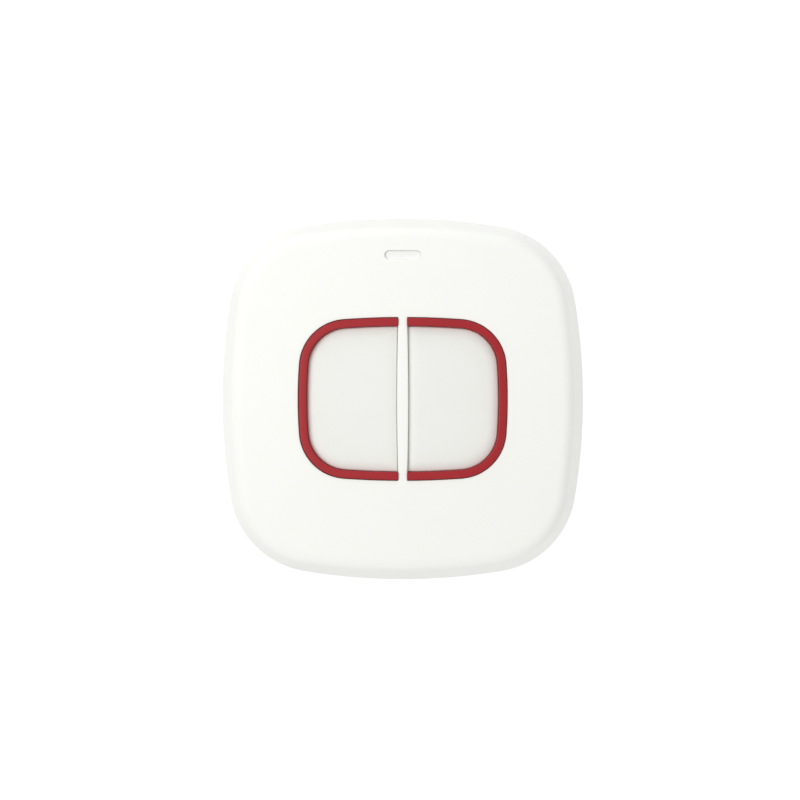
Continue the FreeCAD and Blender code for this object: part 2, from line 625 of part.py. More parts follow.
def case_screw_places():
    return [(f"{x} * {CASE_SCREW_X}", f"{y} * {CASE_SCREW_Y}") for x, y in CORNERS]


def board_screw_places():
    return [(f"{sign} * {BOARD_SCREW_X}", "0") for _, sign in SIDES]


def columns(name, places, foot, top, radius):
    return [cylinder(f"{name}_{number}", x, y, foot, top, radius) for number, (x, y) in enumerate(places)]


def screws(name, places, foot, top, head_foot, head_top, shank, head):
    """One group of identical screws, heads down, points up."""
    made = []
    for number, (x, y) in enumerate(places):
        tip = f"({top} - {shank})"
        body = cylinder(f"{name}_shank_{number}", x, y, foot, tip, shank)
        point = doc.addObject("Part::Cone", f"{name}_point_{number}")
        point.setExpression("Radius1", shank)
        point.setExpression("Radius2", f"{shank} * {POINT_RATIO}")
        point.setExpression("Height", shank)
        point.setExpression("Placement.Base.x", x)
        point.setExpression("Placement.Base.y", y)
        point.setExpression("Placement.Base.z", tip)
        cap = cylinder(f"{name}_head_{number}", x, y, head_foot, head_top, head)
        whole = fuse(f"{name}_whole_{number}", (body, point, cap))
        deep = f"({head_foot} + sizes.drive_depth)"
        long, narrow = "sizes.drive_length", "sizes.drive_width"
        first = block(f"{name}_drive_x_{number}", x, y, head_foot, long, narrow, deep)
        second = block(f"{name}_drive_y_{number}", x, y, head_foot, narrow, long, deep)
        cross = fuse(f"{name}_drive_{number}", (first, second))
        made.append(cut(f"{name}_{number}", whole, cross))
    return group(name, made)


def make_front_cover():
    outer = tapered_body("front_form", "sizes.parting_level", "0", "sizes.depth", "sizes.front_taper")
    crown = dome(outer, "sizes.depth", "sizes.crown_radius")
    centre_reach = value("sizes.body_width / 2 - sizes.front_edge_radius - sizes.front_taper")
    side_foot = value("sizes.parting_level") + value("sizes.front_edge_radius")

    def on_rim(edge):
        ends = [math.hypot(point.X, point.Y) for point in edge.Vertexes]
        return len(ends) == 2 and edge.BoundBox.ZMin > side_foot and min(ends) > centre_reach

    rim = edges_of(crown, on_rim)
    rolled = outer.newObject("PartDesign::Fillet", "front_edge")
    rolled.Base = (crown, rim)
    rolled.setExpression("Radius", "sizes.front_edge_radius")
    level = value("sizes.parting_level")
    foot = edges_of(rolled, lambda edge: lies_at(edge, level))
    bevel = outer.newObject("PartDesign::Chamfer", "front_bevel")
    bevel.Base = (rolled, foot)
    bevel.setExpression("Size", "sizes.parting_chamfer")
    outer.Tip = bevel

    hollow = tapered_body(
        "front_hollow",
        "sizes.parting_level",
        "sizes.cover_wall",
        "sizes.depth",
        "(sizes.cover_wall + sizes.front_taper)",
    )
    dome(hollow, "(sizes.depth - sizes.cover_wall)", "(sizes.crown_radius - sizes.cover_wall)")
    collar = outline_block("collar", RING_SHAPE, "-sizes.collar_width", COLLAR, "sizes.depth")
    land_reach = "2 * (sizes.window_flange_reach + sizes.window_land_reach)"
    window_land = pill_block(
        "window_land",
        SLOT_Y,
        f"(sizes.slot_length + {land_reach})",
        f"(sizes.slot_width + {land_reach})",
        WINDOW_LAND,
        "sizes.depth",
    )
    case_bosses = columns(
        "front_boss", case_screw_places(), "sizes.case_boss_level", "sizes.depth", "sizes.case_boss_radius"
    )
    board_bosses = columns(
        "board_boss", board_screw_places(), BOARD_TOP, "sizes.depth", "sizes.board_boss_radius"
    )
    inner_forms = fuse("front_inner_forms", [collar, window_land, *case_bosses, *board_bosses])
    room = cut("front_room", hollow, inner_forms)

    above = f"(sizes.depth + {MARGIN})"
    opening = outline_block("ring_opening", RING_SHAPE, "-sizes.ring_seam", COLLAR, above)
    bar = rounded_bar("divider_bar")
    windows = cut("button_openings", opening, bar)
    slot = pill_block(
        "indicator_slot",
        SLOT_Y,
        "sizes.slot_length",
        "sizes.slot_width",
        WINDOW_LAND,
        "sizes.depth",
    )
    case_pilots = columns(
        "case_pilot",
        case_screw_places(),
        "sizes.case_boss_level",
        "(sizes.case_screw_recess + sizes.case_screw_length + sizes.case_screw_radius / 2)",
        "(sizes.case_screw_radius + sizes.screw_clearance)",
    )
    board_pilots = columns(
        "board_pilot",
        board_screw_places(),
        BOARD_TOP,
        f"({BOARD_FOOT} + sizes.board_screw_length + sizes.board_screw_radius / 2)",
        "(sizes.board_screw_radius + sizes.screw_clearance)",
    )
    removed = fuse("front_removed", [room, windows, slot, *case_pilots, *board_pilots])
    shell = cut("front_shell", outer, removed)
    stakes = columns("stake", stake_places(), GUIDE_FOOT, COLLAR, "sizes.stake_radius")
    heads = columns(
        "stake_head",
        stake_places(),
        f"({GUIDE_FOOT} - sizes.stake_head_height)",
        GUIDE_FOOT,
        "sizes.stake_head_radius",
    )
    keep(fuse("front_cover", [shell, *stakes, *heads]), "front_cover")


def make_ring():
    top = f"(sizes.depth + {MARGIN})"
    band = outline_block("ring_outer", RING_SHAPE, "0", GUIDE_FOOT, top)
    bore = outline_block("ring_bore", RING_SHAPE, "sizes.ring_band", GUIDE_FOOT, top)
    wall = cut("ring_wall", band, bore)
    crown = ball("ring_crown", CROWN_CENTRE, "(sizes.crown_radius + sizes.ring_proud)")
    trimmed = common("ring_trimmed", (wall, crown))
    level = value(COLLAR)
    rounded = round_edges(
        "ring_rounded",
        trimmed,
        "sizes.ring_edge_radius",
        lambda edge: edge.BoundBox.ZMin > level,
    )
    skirt = outline_block(
        "ring_flange_outer", RING_SHAPE, "-sizes.ring_flange_reach", GUIDE_FOOT, COLLAR
    )
    skirt_bore = outline_block(
        "ring_flange_bore", RING_SHAPE, "sizes.ring_band / 2", GUIDE_FOOT, COLLAR
    )
    flange = cut("ring_flange", skirt, skirt_bore)
    whole = fuse("ring_whole", (rounded, flange))
    notch = bar_block("bar_notch", "sizes.bar_clearance", COLLAR)
    holes = columns(
        "stake_hole", stake_places(), GUIDE_FOOT, COLLAR, "(sizes.stake_radius + sizes.stake_clearance)"
    )
    removed = fuse("ring_removed", [notch, *holes])
    keep(cut("button_ring", whole, removed), "button_ring")


def make_button(side, sign):
    top = f"(sizes.depth + {MARGIN})"
    half = button_block(f"{side}_half_pad", sign, BUTTON_INSET, "0", GUIDE_FOOT, top)
    pad = cut(f"{side}_pad", half, bar_block(f"{side}_bar_room", "sizes.button_gap", GUIDE_FOOT))
    crown = ball(f"{side}_pad_crown", BUTTON_CENTRE, "sizes.button_crown_radius")
    domed = common(f"{side}_pad_domed", (pad, crown))
    lowest = value(COLLAR)
    rounded = round_edges(
        f"{side}_pad_rounded",
        domed,
        "sizes.button_edge_radius",
        lambda edge: edge.BoundBox.ZMin > lowest,
    )
    flange = button_block(
        f"{side}_flange",
        sign,
        f"({BUTTON_INSET} - sizes.button_flange_reach)",
        "(sizes.button_split / 2)",
        FLANGE_FOOT,
        GUIDE_FOOT,
    )
    whole = fuse(f"{side}_button_whole", (rounded, flange))
    hollow = button_block(
        f"{side}_hollow",
        sign,
        f"({BUTTON_INSET} + sizes.button_wall)",
        f"({BUTTON_SIDE} + sizes.button_wall)",
        FLANGE_FOOT,
        top,
    )
    ceiling = ball(
        f"{side}_ceiling", BUTTON_CENTRE, "(sizes.button_crown_radius - sizes.button_wall)"
    )
    room = common(f"{side}_room", (hollow, ceiling))
    centre = f"{sign} * sizes.switch_offset"
    stem = cylinder(f"{side}_stem", centre, "0", PLUNGER_TOP, top, "sizes.stem_radius")
    rib_foot = f"({BUTTON_CROWN} - sizes.button_wall - sizes.rib_depth)"
    long_rib = block(f"{side}_long_rib", centre, "0", rib_foot, "sizes.rib_width", REACH, top)
    cross_rib = block(f"{side}_cross_rib", centre, "0", rib_foot, REACH, "sizes.rib_width", top)
    inner_forms = fuse(f"{side}_inner_forms", (stem, long_rib, cross_rib))
    removed = cut(f"{side}_removed", room, inner_forms)
    keep(cut(f"{side}_button", whole, removed), f"{side}_button")


def make_return_pad(side, sign):
    inset = f"({BUTTON_INSET} - sizes.button_flange_reach + sizes.return_pad_inset)"
    straight = "(sizes.button_split / 2 + sizes.return_pad_inset)"
    outer = button_block(f"{side}_return_outer", sign, inset, straight, BOARD_TOP, FLANGE_FOOT)
    inner = button_block(
        f"{side}_return_inner",
        sign,
        f"({inset} + sizes.return_pad_width)",
        f"({straight} + sizes.return_pad_width)",
        BOARD_TOP,
        FLANGE_FOOT,
    )
    keep(cut(f"{side}_return_pad", outer, inner), f"{side}_return_pad")


def make_switch(side, sign):
    centre = f"{sign} * sizes.switch_offset"
    width = "sizes.switch_width"
    square = block(f"{side}_switch_block", centre, "0", BOARD_TOP, width, width, SWITCH_TOP)
    doc.recompute()
    bevel = doc.addObject("Part::Chamfer", f"{side}_switch_bevel")
    bevel.Base = square
    size = value("sizes.switch_corner")
    tall = value("sizes.switch_height") - SLACK
    uprights = [
        number for number, edge in enumerate(square.Shape.Edges, start=1) if edge.BoundBox.ZLength > tall
    ]
    bevel.Edges = [(number, size, size) for number in uprights]
    well = cylinder(
        f"{side}_switch_well",
        centre,
        "0",
        f"({SWITCH_TOP} - sizes.plunger_depth - sizes.plunger_room)",
        SWITCH_TOP,
        "(sizes.plunger_radius + sizes.plunger_clearance)",
    )
    keep(cut(f"{side}_switch", bevel, well), f"{side}_switch")
    plunger = cylinder(
        f"{side}_plunger",
        centre,
        "0",
        f"({SWITCH_TOP} - sizes.plunger_depth)",
        PLUNGER_TOP,
        "sizes.plunger_radius",
    )
    keep(plunger, f"{side}_plunger")


def make_indicator():
    crown = ball("window_crown", CROWN_CENTRE, "(sizes.crown_radius - sizes.window_recess)")
    pane = pill_block(
        "window_pane",
        SLOT_Y,
        "(sizes.slot_length - 2 * sizes.window_clearance)",
        "(sizes.slot_width - 2 * sizes.window_clearance)",
        WINDOW_FOOT,
        "sizes.depth",
    )
    lens = common("window_lens", (pane, crown))
    flange = pill_block(
        "window_flange",
        SLOT_Y,
        "(sizes.slot_length + 2 * sizes.window_flange_reach)",
        "(sizes.slot_width + 2 * sizes.window_flange_reach)",
        WINDOW_FOOT,
        WINDOW_LAND,
    )
    pipe_less = "2 * (sizes.window_clearance + sizes.pipe_inset)"
    pipe = pill_block(
        "light_pipe",
        SLOT_Y,
        f"(sizes.slot_length - {pipe_less})",
        f"(sizes.slot_width - {pipe_less})",
        f"({BOARD_TOP} + sizes.lamp_height + sizes.pipe_gap)",
        WINDOW_FOOT,
    )
    keep(fuse("indicator_window", (lens, flange, pipe)), "indicator_window")
    base_top = f"({BOARD_TOP} + sizes.lamp_height - sizes.lamp_lens_height)"
    base = block(
        "lamp_base",
        "0",
        SLOT_Y,
        BOARD_TOP,
        "sizes.lamp_length",
        "sizes.lamp_width",
        base_top,
    )
    clear = block(
        "lamp_lens",
        "0",
        SLOT_Y,
        base_top,
        "sizes.lamp_lens_length",
        "sizes.lamp_width",
        f"({BOARD_TOP} + sizes.lamp_height)",
    )
    keep(fuse("indicator_lamp", (base, clear)), "indicator_lamp")


def make_board():
    plate = outline_block("board_plate", BODY_SHAPE, "sizes.board_inset", BOARD_FOOT, BOARD_TOP)
    cutouts = columns(
        "board_cutout",
        case_screw_places(),
        BOARD_FOOT,
        BOARD_TOP,
        "(sizes.case_boss_radius + sizes.case_boss_room)",
    )
    holes = columns(
        "board_hole",
        board_screw_places(),
        BOARD_FOOT,
        BOARD_TOP,
        "(sizes.board_screw_radius + sizes.screw_clearance)",
    )
    keep(cut("circuit_board", plate, fuse("board_removed", cutouts + holes)), "circuit_board")


def make_board_parts():
    board_top = f"({BOARD_TOP} + sizes.module_board)"
    length, width = "sizes.module_length", "sizes.module_width"
    module = block("module", "0", MODULE_Y, BOARD_TOP, length, width, board_top)
    keep(module, "radio_module")
    shield_top = f"({board_top} + sizes.shield_height)"
    less = "2 * sizes.shield_margin"
    can = block(
        "shield_outer",
        "0",
        MODULE_Y,
        board_top,
        f"(sizes.module_length - {less})",
        f"(sizes.module_width - {less})",
        shield_top,
    )
    less = "2 * (sizes.shield_margin + sizes.shield_wall)"
    can_room = block(
        "shield_room",
        "0",
        MODULE_Y,
        board_top,
        f"(sizes.module_length - {less})",
        f"(sizes.module_width - {less})",
        f"({shield_top} - sizes.shield_wall)",
    )
    keep(cut("radio_shield", can, can_room), "radio_shield")
    chip = block(
        "chip",
        "(-sizes.chip_across)",
        CHIP_Y,
        BOARD_TOP,
        "sizes.chip_side",
        "sizes.chip_side",
        f"({BOARD_TOP} + sizes.chip_height)",
    )
    keep(chip, "controller_chip")
    crystal = block(
        "crystal_can",
        "(-sizes.crystal_across)",
        CHIP_Y,
        BOARD_TOP,
        "sizes.crystal_length",
        "sizes.crystal_width",
        f"({BOARD_TOP} + sizes.crystal_height)",
    )
    keep(crystal, "crystal")
    small = [
        block(
            f"small_chip_{number}",
            f"(sizes.chip_part_across + {number} * sizes.chip_part_pitch)",
            CHIP_Y,
            BOARD_TOP,
            "sizes.chip_part_width",
            "sizes.chip_part_length",
            f"({BOARD_TOP} + sizes.chip_part_height)",
        )
        for number in range(SMALL_CHIPS)
    ]
    keep(group("board_capacitors", small), "board_capacitors")


def make_antenna():
    top = f"({ANTENNA_FOOT} + sizes.antenna_sheet)"
    length, width = "sizes.antenna_length", "sizes.antenna_width"
    strip = block("antenna_strip", "0", ANTENNA_Y, ANTENNA_FOOT, length, width, top)
    first_x = "(sizes.antenna_sheet / 2 - sizes.antenna_length / 2)"
    legs = [
        block(
            f"antenna_leg_{number}",
            f"({first_x} + {number} * sizes.antenna_feed)",
            ANTENNA_Y,
            BOARD_TOP,
            "sizes.antenna_sheet",
            width,
            ANTENNA_FOOT,
        )
        for number in range(ANTENNA_LEGS)
    ]
    keep(fuse("antenna", [strip, *legs]), "antenna")


def make_cell():
    body = doc.addObject("PartDesign::Body", "cell")
    sketch = body_sketch(body, "cell_profile", plane="XZ_Plane")
    shoulder = "(sizes.cell_radius - sizes.cell_step)"
    can_top = f"({CELL_TOP} - sizes.cell_step_depth)"
    points = (
        ("0", CELL_FOOT),
        ("sizes.cell_radius", CELL_FOOT),
        ("sizes.cell_radius", can_top),
        (shoulder, can_top),
        (shoulder, CELL_TOP),
        ("0", CELL_TOP),
    )
    draw_polygon(sketch, points)
    can = body.newObject("PartDesign::Revolution", "cell_can")
    can.Profile = sketch
    can.ReferenceAxis = (sketch, ["V_Axis"])
    can.Angle = 360
    foot = value(CELL_FOOT)
    lower = edges_of(can, lambda edge: lies_at(edge, foot) and edge.Length > value("sizes.cell_radius"))
    rolled = body.newObject("PartDesign::Fillet", "cell_edge")
    rolled.Base = (can, lower)
    rolled.setExpression("Radius", "sizes.cell_edge_radius")
    body.Tip = rolled
    keep(body, "coin_cell")


def make_holder():
    foot = f"({CELL_FOOT} + sizes.holder_lift)"
    inner = "(sizes.cell_radius + sizes.holder_clearance)"
    outer = cylinder("holder_outer", "0", "0", foot, BOARD_FOOT, f"({inner} + sizes.holder_wall)")
    bore = cylinder("holder_bore", "0", "0", foot, BOARD_FOOT, inner)
    ring = cut("holder_ring", outer, bore)
    notch = block(
        "holder_gap",
        "0",
        f"(-{inner})",
        foot,
        "(sizes.contact_width + 2 * sizes.holder_notch)",
        f"2 * (sizes.holder_wall + {MARGIN})",
        BOARD_FOOT,
    )
    keep(cut("battery_holder", ring, notch), "battery_holder")


def make_contacts():
    sheet = free_sketch("negative_profile", upright=True)
    under = f"({BOARD_FOOT} - sizes.contact_thickness)"
    start = "(-sizes.negative_base)"
    tip = "sizes.negative_reach"
    slope = "sizes.negative_slope"
    land = f"({CELL_TOP} + sizes.contact_thickness)"
    points = (
        (start, BOARD_FOOT),
        (start, under),
        ("0", under),
        (slope, CELL_TOP),
        (tip, CELL_TOP),
        (tip, land),
        (f"({slope} + sizes.contact_thickness)", land),
        ("sizes.contact_thickness", BOARD_FOOT),
    )
    draw_polygon(sheet, points)
    keep(extrude("negative", sheet, "sizes.contact_width", both_ways=True), "negative_contact")
    face = "(sizes.cell_radius + sizes.contact_thickness / 2)"
    upright = block(
        "positive_blade",
        "0",
        f"(-{face})",
        f"({CELL_FOOT} + sizes.positive_drop)",
        "sizes.contact_width",
        "sizes.contact_thickness",
        BOARD_FOOT,
    )
    foot = block(
        "positive_foot_plate",
        "0",
        "(-sizes.cell_radius - sizes.positive_foot / 2)",
        under,
        "sizes.contact_width",
        "sizes.positive_foot",
        BOARD_FOOT,
    )
    keep(fuse("positive", (upright, foot)), "positive_contact")


def make_seals():
    top = "(sizes.parting_level + sizes.seal_height)"
    outer = outline_block("seal_outer", BODY_SHAPE, SEAL_INSET, "sizes.parting_level", top)
    inner = outline_block(
        "seal_inner", BODY_SHAPE, f"({SEAL_INSET} + sizes.seal_width)", "sizes.parting_level", top
    )
    keep(cut("housing_seal", outer, inner), "housing_seal")
    seal_radius = f"({DOOR_RADIUS} - sizes.door_seal_inset)"
    rim = cylinder("door_seal_outer", "0", "0", DOOR_PLATE_TOP, DOOR_SEAT, seal_radius)
    hole = cylinder("door_seal_inner", "0", "0", DOOR_PLATE_TOP, DOOR_SEAT, HOLE_RADIUS)
    keep(cut("door_seal", rim, hole), "door_seal")


def tab_wedge(name, radius, width, middle, foot, top):
    """Sector about the door's axis, centred on the given angle in degrees."""
    item = doc.addObject("Part::Cylinder", name)
    item.setExpression("Radius", radius)
    item.setExpression("Height", f"{top} - {foot}")
    item.setExpression("Angle", width)
    item.setExpression("Placement.Base.z", foot)
    item.setExpression("Placement.Rotation.Angle", f"{middle} - {width} / 2")
    return item


def make_rear_cover():
    outer = tapered_body("rear_form", "sizes.parting_level", "0", "0", "sizes.rear_taper")
    loft = outer.Group[-1]
    back = edges_of(loft, lambda edge: lies_at(edge, 0))
    rolled = outer.newObject("PartDesign::Fillet", "rear_edge")
    rolled.Base = (loft, back)
    rolled.setExpression("Radius", "sizes.rear_edge_radius")
    level = value("sizes.parting_level")
    rim = edges_of(rolled, lambda edge: lies_at(edge, level))
    bevel = outer.newObject("PartDesign::Chamfer", "rear_bevel")
    bevel.Base = (rolled, rim)
    bevel.setExpression("Size", "sizes.parting_chamfer")
    outer.Tip = bevel

    lip_top = "(sizes.parting_level + sizes.lip_height)"
    lip_foot = "(sizes.parting_level - sizes.lip_height)"
    lip = outline_block("lip_block", BODY_SHAPE, LIP_INSET, lip_foot, lip_top)
    solid = fuse("rear_solid", (outer, lip))
    hollow = outline_block("rear_hollow", BODY_SHAPE, REAR_INSET, "sizes.rear_floor", lip_top)
    land_radius = f"({DOOR_RADIUS} + sizes.door_gap + sizes.door_land_width)"
    land = cylinder("door_land", "0", "0", "0", "sizes.door_land_thickness", land_radius)
    room = cut("rear_room", hollow, land)
    shell = cut("rear_shell", solid, room)
    bosses = columns(
        "rear_boss",
        case_screw_places(),
        "(sizes.rear_floor / 2)",
        "sizes.case_boss_level",
        "sizes.case_boss_radius",
    )
    whole = fuse("rear_whole", [shell, *bosses])

    recess = cylinder("door_recess", "0", "0", "0", DOOR_SEAT, f"({DOOR_RADIUS} + sizes.door_gap)")
    hole = cylinder("door_hole", "0", "0", "0", "sizes.door_land_thickness", HOLE_RADIUS)
    notch_radius = f"({HUB_RADIUS} + sizes.door_tab_reach + sizes.door_tab_room)"
    notch_width = "(sizes.door_tab_angle + 2 * sizes.door_tab_slack)"
    notches = [
        tab_wedge(
            f"door_notch_{number}",
            notch_radius,
            notch_width,
            f"({angle} - sizes.door_turn)",
            DOOR_SEAT,
            "sizes.door_land_thickness",
        )
        for number, angle in enumerate(TAB_ANGLES)
    ]
    passages = columns(
        "case_passage",
        case_screw_places(),
        "0",
        "sizes.case_boss_level",
        "(sizes.case_screw_radius + sizes.screw_clearance)",
    )
    sinks = columns(
        "case_sink",
        case_screw_places(),
        "0",
        "sizes.case_screw_recess",
        "(sizes.case_screw_head_radius + sizes.head_clearance)",
    )
    removed = fuse("rear_removed", [recess, hole, *notches, *passages, *sinks])
    keep(cut("rear_cover", whole, removed), "rear_cover")


def make_door():
    body = doc.addObject("PartDesign::Body", "door")
    sketch = body_sketch(body, "door_profile", plane="XZ_Plane")
    disc_top = "(sizes.door_setback + sizes.door_disc)"
    inner = f"({HUB_RADIUS} - sizes.door_hub_wall)"
    points = (
        ("0", "sizes.door_setback"),
        (DOOR_RADIUS, "sizes.door_setback"),
        (DOOR_RADIUS, DOOR_PLATE_TOP),
        (HUB_RADIUS, DOOR_PLATE_TOP),
        (HUB_RADIUS, TAB_TOP),
        (inner, TAB_TOP),
        (inner, disc_top),
        ("0", disc_top),
    )
    draw_polygon(sketch, points)
    turned = body.newObject("PartDesign::Revolution", "door_turned")
    turned.Profile = sketch
    turned.ReferenceAxis = (sketch, ["V_Axis"])
    turned.Angle = 360
    slot = body_sketch(body, "coin_slot_sketch", "sizes.door_setback")
    draw_pill(slot, "0", "sizes.coin_slot_length", "sizes.coin_slot_width")
    doc.recompute()
    pocket = body.newObject("PartDesign::Pocket", "coin_slot")
    pocket.Profile = slot
    pocket.Reversed = True
    pocket.setExpression("Length", "sizes.coin_slot_depth")
    body.Tip = pocket
    tab_radius = f"({HUB_RADIUS} + sizes.door_tab_reach)"
    tabs = [
        tab_wedge(f"door_tab_{number}", tab_radius, "sizes.door_tab_angle", angle, TAB_FOOT, TAB_TOP)
        for number, angle in enumerate(TAB_ANGLES)
    ]
    clear = cylinder("door_tab_core", "0", "0", TAB_FOOT, TAB_TOP, inner)
    rim = cut("door_tabs", fuse("door_tab_set", tabs), clear)
    keep(fuse("battery_door", (body, rim)), "battery_door")


def make_screws():
    head_top = "sizes.case_screw_recess"
    case = screws(
        "case_screw",
        case_screw_places(),
        head_top,
        f"({head_top} + sizes.case_screw_length)",
        f"({head_top} - sizes.case_screw_head_height)",
        head_top,
        "sizes.case_screw_radius",
        "sizes.case_screw_head_radius",
    )
    keep(case, "case_screws")
    board = screws(
        "board_screw",
        board_screw_places(),
        BOARD_FOOT,
        f"({BOARD_FOOT} + sizes.board_screw_length)",
        f"({BOARD_FOOT} - sizes.board_screw_head_height)",
        BOARD_FOOT,
        "sizes.board_screw_radius",
        "sizes.board_screw_head_radius",
    )
    keep(board, "board_screws")


def check_document():
    for item in doc.Objects:
        if "Invalid" in item.State or "Error" in item.State:
            raise RuntimeError(f"{item.Name} failed: {item.State}")
    for item in sub_parts:
        if item.Shape.isNull() or not item.Shape.isValid():
            raise RuntimeError(f"{item.Label} has no valid shape")


def write_parts():
    os.makedirs("parts", exist_ok=True)
    for item in sub_parts:
        item.Shape.exportStep(f"parts/{item.Label}.step")
        print(f"{item.Label}: {len(item.Shape.Solids)} solid(s), {item.Shape.Volume:.1f} mm3")


fill_sheet()
make_front_cover()
make_ring()
for side, sign in SIDES:
    make_button(side, sign)
    make_return_pad(side, sign)
    make_switch(side, sign)
make_indicator()
make_board()
make_board_parts()
make_antenna()
make_cell()
make_holder()
make_contacts()
make_seals()
make_rear_cover()
make_door()
make_screws()
doc.recompute()
check_document()
write_parts()
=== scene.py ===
import math

import bmesh
import bpy
import numpy as np
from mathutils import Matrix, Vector
from mathutils.geometry import delaunay_2d_cdt


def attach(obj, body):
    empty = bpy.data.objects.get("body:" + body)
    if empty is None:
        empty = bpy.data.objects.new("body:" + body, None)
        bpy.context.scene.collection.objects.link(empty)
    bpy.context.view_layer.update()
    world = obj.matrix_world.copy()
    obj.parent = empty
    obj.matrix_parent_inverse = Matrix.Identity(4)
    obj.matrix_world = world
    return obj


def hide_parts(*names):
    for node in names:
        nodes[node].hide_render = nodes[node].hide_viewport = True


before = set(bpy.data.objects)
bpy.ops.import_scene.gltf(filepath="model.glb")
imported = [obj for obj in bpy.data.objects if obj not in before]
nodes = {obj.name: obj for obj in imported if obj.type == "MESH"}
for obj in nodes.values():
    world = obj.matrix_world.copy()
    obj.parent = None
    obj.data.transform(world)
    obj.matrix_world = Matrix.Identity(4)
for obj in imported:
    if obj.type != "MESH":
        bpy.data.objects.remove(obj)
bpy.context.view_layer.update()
mm = 0.001  # the sizes below are in millimetres
clear = 1.0  # how far a cutting tool stands out past the piece that it cuts
overlap = 0.01  # how far a joined or cut face is overrun
up = np.array([0.0, 0.0, 1.0])
right, left = 1, -1

# The body's rounded square with bowed sides.
bodyOutline = {
    "halfX": 31.0,
    "halfY": 31.0,
    "sideRadius": 103.0,
    "endRadius": 103.0,
    "cornerRadius": 15.3,
}
frontForm = {
    "parting": 6.0,
    "crown": 17.0,
    "crownRadius": 170.0,
    "taper": 2.4,
    "edgeRound": 2.5,
    "bevel": 0.2,
    "wall": 1.6,
    "collarLevel": 13.6,
    "collarReach": 2.6,
    "stakeReach": 1.05,
    "stakeFoot": 12.8,
    "stakeRadius": 0.6,
    "stakeHeadRadius": 1.0,
    "stakeHeadHeight": 0.5,
    "stakeHeadRound": 0.25,
    "stakeTipRatio": 0.6,
    "stakeRoot": 0.2,
    "windowRound": 0.12,
    "boardBossX": 21.97,
    "boardBossRadius": 1.9,
    "boardBossFoot": 10.05,
    "boardPilotRadius": 0.96,
    "boardPilotTop": 12.9,
    "faceSpacing": 0.55,
    "baseSpacing": 4.0,
    "ceilingSpacing": 1.5,
}
rearForm = {
    "taper": 2.6,
    "edgeRound": 1.8,
    "floor": 1.6,
    "lipInset": 2.35,
    "lipWall": 0.7,
    "lipHeight": 1.2,
    "doorLand": 2.4,
    "doorLandRadius": 16.8,
    "recessRadius": 14.8,
    "recessDepth": 1.5,
    "holeRadius": 12.68,
    "notchRadius": 14.4,
    "notchAngle": 36.0,
    "notchTurn": 45.0,
    "notchFoot": 1.0,
    "notchTop": 4.0,
    "edgeSoftness": 0.18,
    "sideShares": (0.33, 0.66),
    "roundSteps": 12,
    "backSpacing": 3.0,
}
bossForm = {
    "place": 20.5,
    "radius": 2.6,
    "rearFoot": 0.8,
    "meet": 7.0,
    "passage": 1.16,
    "passageFoot": 1.0,
    "pilotTop": 11.75,
    "sinkRadius": 2.1,
    "sinkDepth": 2.2,
    "sinkSteps": 96,
}
ringOutline = {
    "halfX": 17.82,
    "halfY": 13.87,
    "sideRadius": 83.0,
    "endRadius": 140.3,
    "cornerRadius": 8.1,
}
ringForm = {
    "seam": 0.12,
    "band": 1.36,
    "proud": 0.25,
    "edgeRound": 0.25,
    "foot": 12.8,
    "bandFoot": 13.1,
    "flangeReach": 2.0,
    "flangeTop": 13.6,
    "flangeLip": 0.01,
    "flangeSteps": (15, 25),  # other steps than the band's, so no edges coincide
    "notchGap": 0.03,
    "notchReach": 16.0,
    "notchSteps": 65,
    "stakeHole": 0.7,
    "roundSteps": 7,
}
barForm = {
    "width": 1.55,
    "bow": 0.2,
    "edgeRound": 0.3,
    "blend": 2.0,
    "steps": 56,
}
padForm = {
    "gap": 0.06,
    "crown": 16.45,
    "crownRadius": 150.0,
    "shoulderWidth": 1.8,
    "shoulderDrop": 0.22,
    "edgeRound": 0.25,
    "foot": 12.8,
    "flangeFoot": 12.0,
    "flangeReach": 0.9,
    "split": 0.25,
    "wall": 1.3,
    "stemX": 8.9,
    "stemRadius": 2.1,
    "stemFoot": 13.15,
    "ribWidth": 0.8,
    "ribDepth": 1.2,
    "ribReach": 20.0,
    "roundSteps": 14,
    "faceSpacing": 0.45,
}
slotForm = {
    "y": 24.62,
    "length": 6.2,
    "width": 1.5,
    "edgeRound": 0.13,
    "land": 13.257,
    "landReach": 1.2,
}
windowForm = {
    "recess": 0.42,
    "gap": 0.026,
    "shift": (-0.008, -0.024),
    "edgeRound": 0.05,
    "flangeReach": 0.8,
    "flangeFoot": 12.657,
    "pipeInset": 0.2,
    "pipeFoot": 10.75,
    "faceSpacing": 0.25,
}
doorForm = {
    "radius": 14.6,
    "face": 0.2,
    "rimTop": 1.0,
    "edgeRound": 0.25,
    "centreRadius": 4.0,
    "middleRadius": 9.0,
    "hubRadius": 12.6,
    "hubTop": 3.3,
    "hubWall": 1.3,
    "discTop": 1.8,
    "tabRadius": 14.1,
    "tabFoot": 2.5,
    "tabAngle": 30.0,
    "tabAngles": (90.0, 210.0, 330.0),
    "slotLength": 15.0,
    "slotWidth": 1.8,
    "slotDepth": 0.9,
    "slotRound": 0.2,
    "steps": 224,
}
screwForm = {
    "headFoot": 0.7,
    "headTop": 2.2,
    "headRadius": 1.9,
    "headRound": 0.25,
    "shankRadius": 1.1,
    "tip": 11.2,
    "tipRatio": 0.35,
    "driveLength": 2.0,
    "driveWidth": 0.5,
    "driveDepth": 0.9,
    "steps": 72,
}


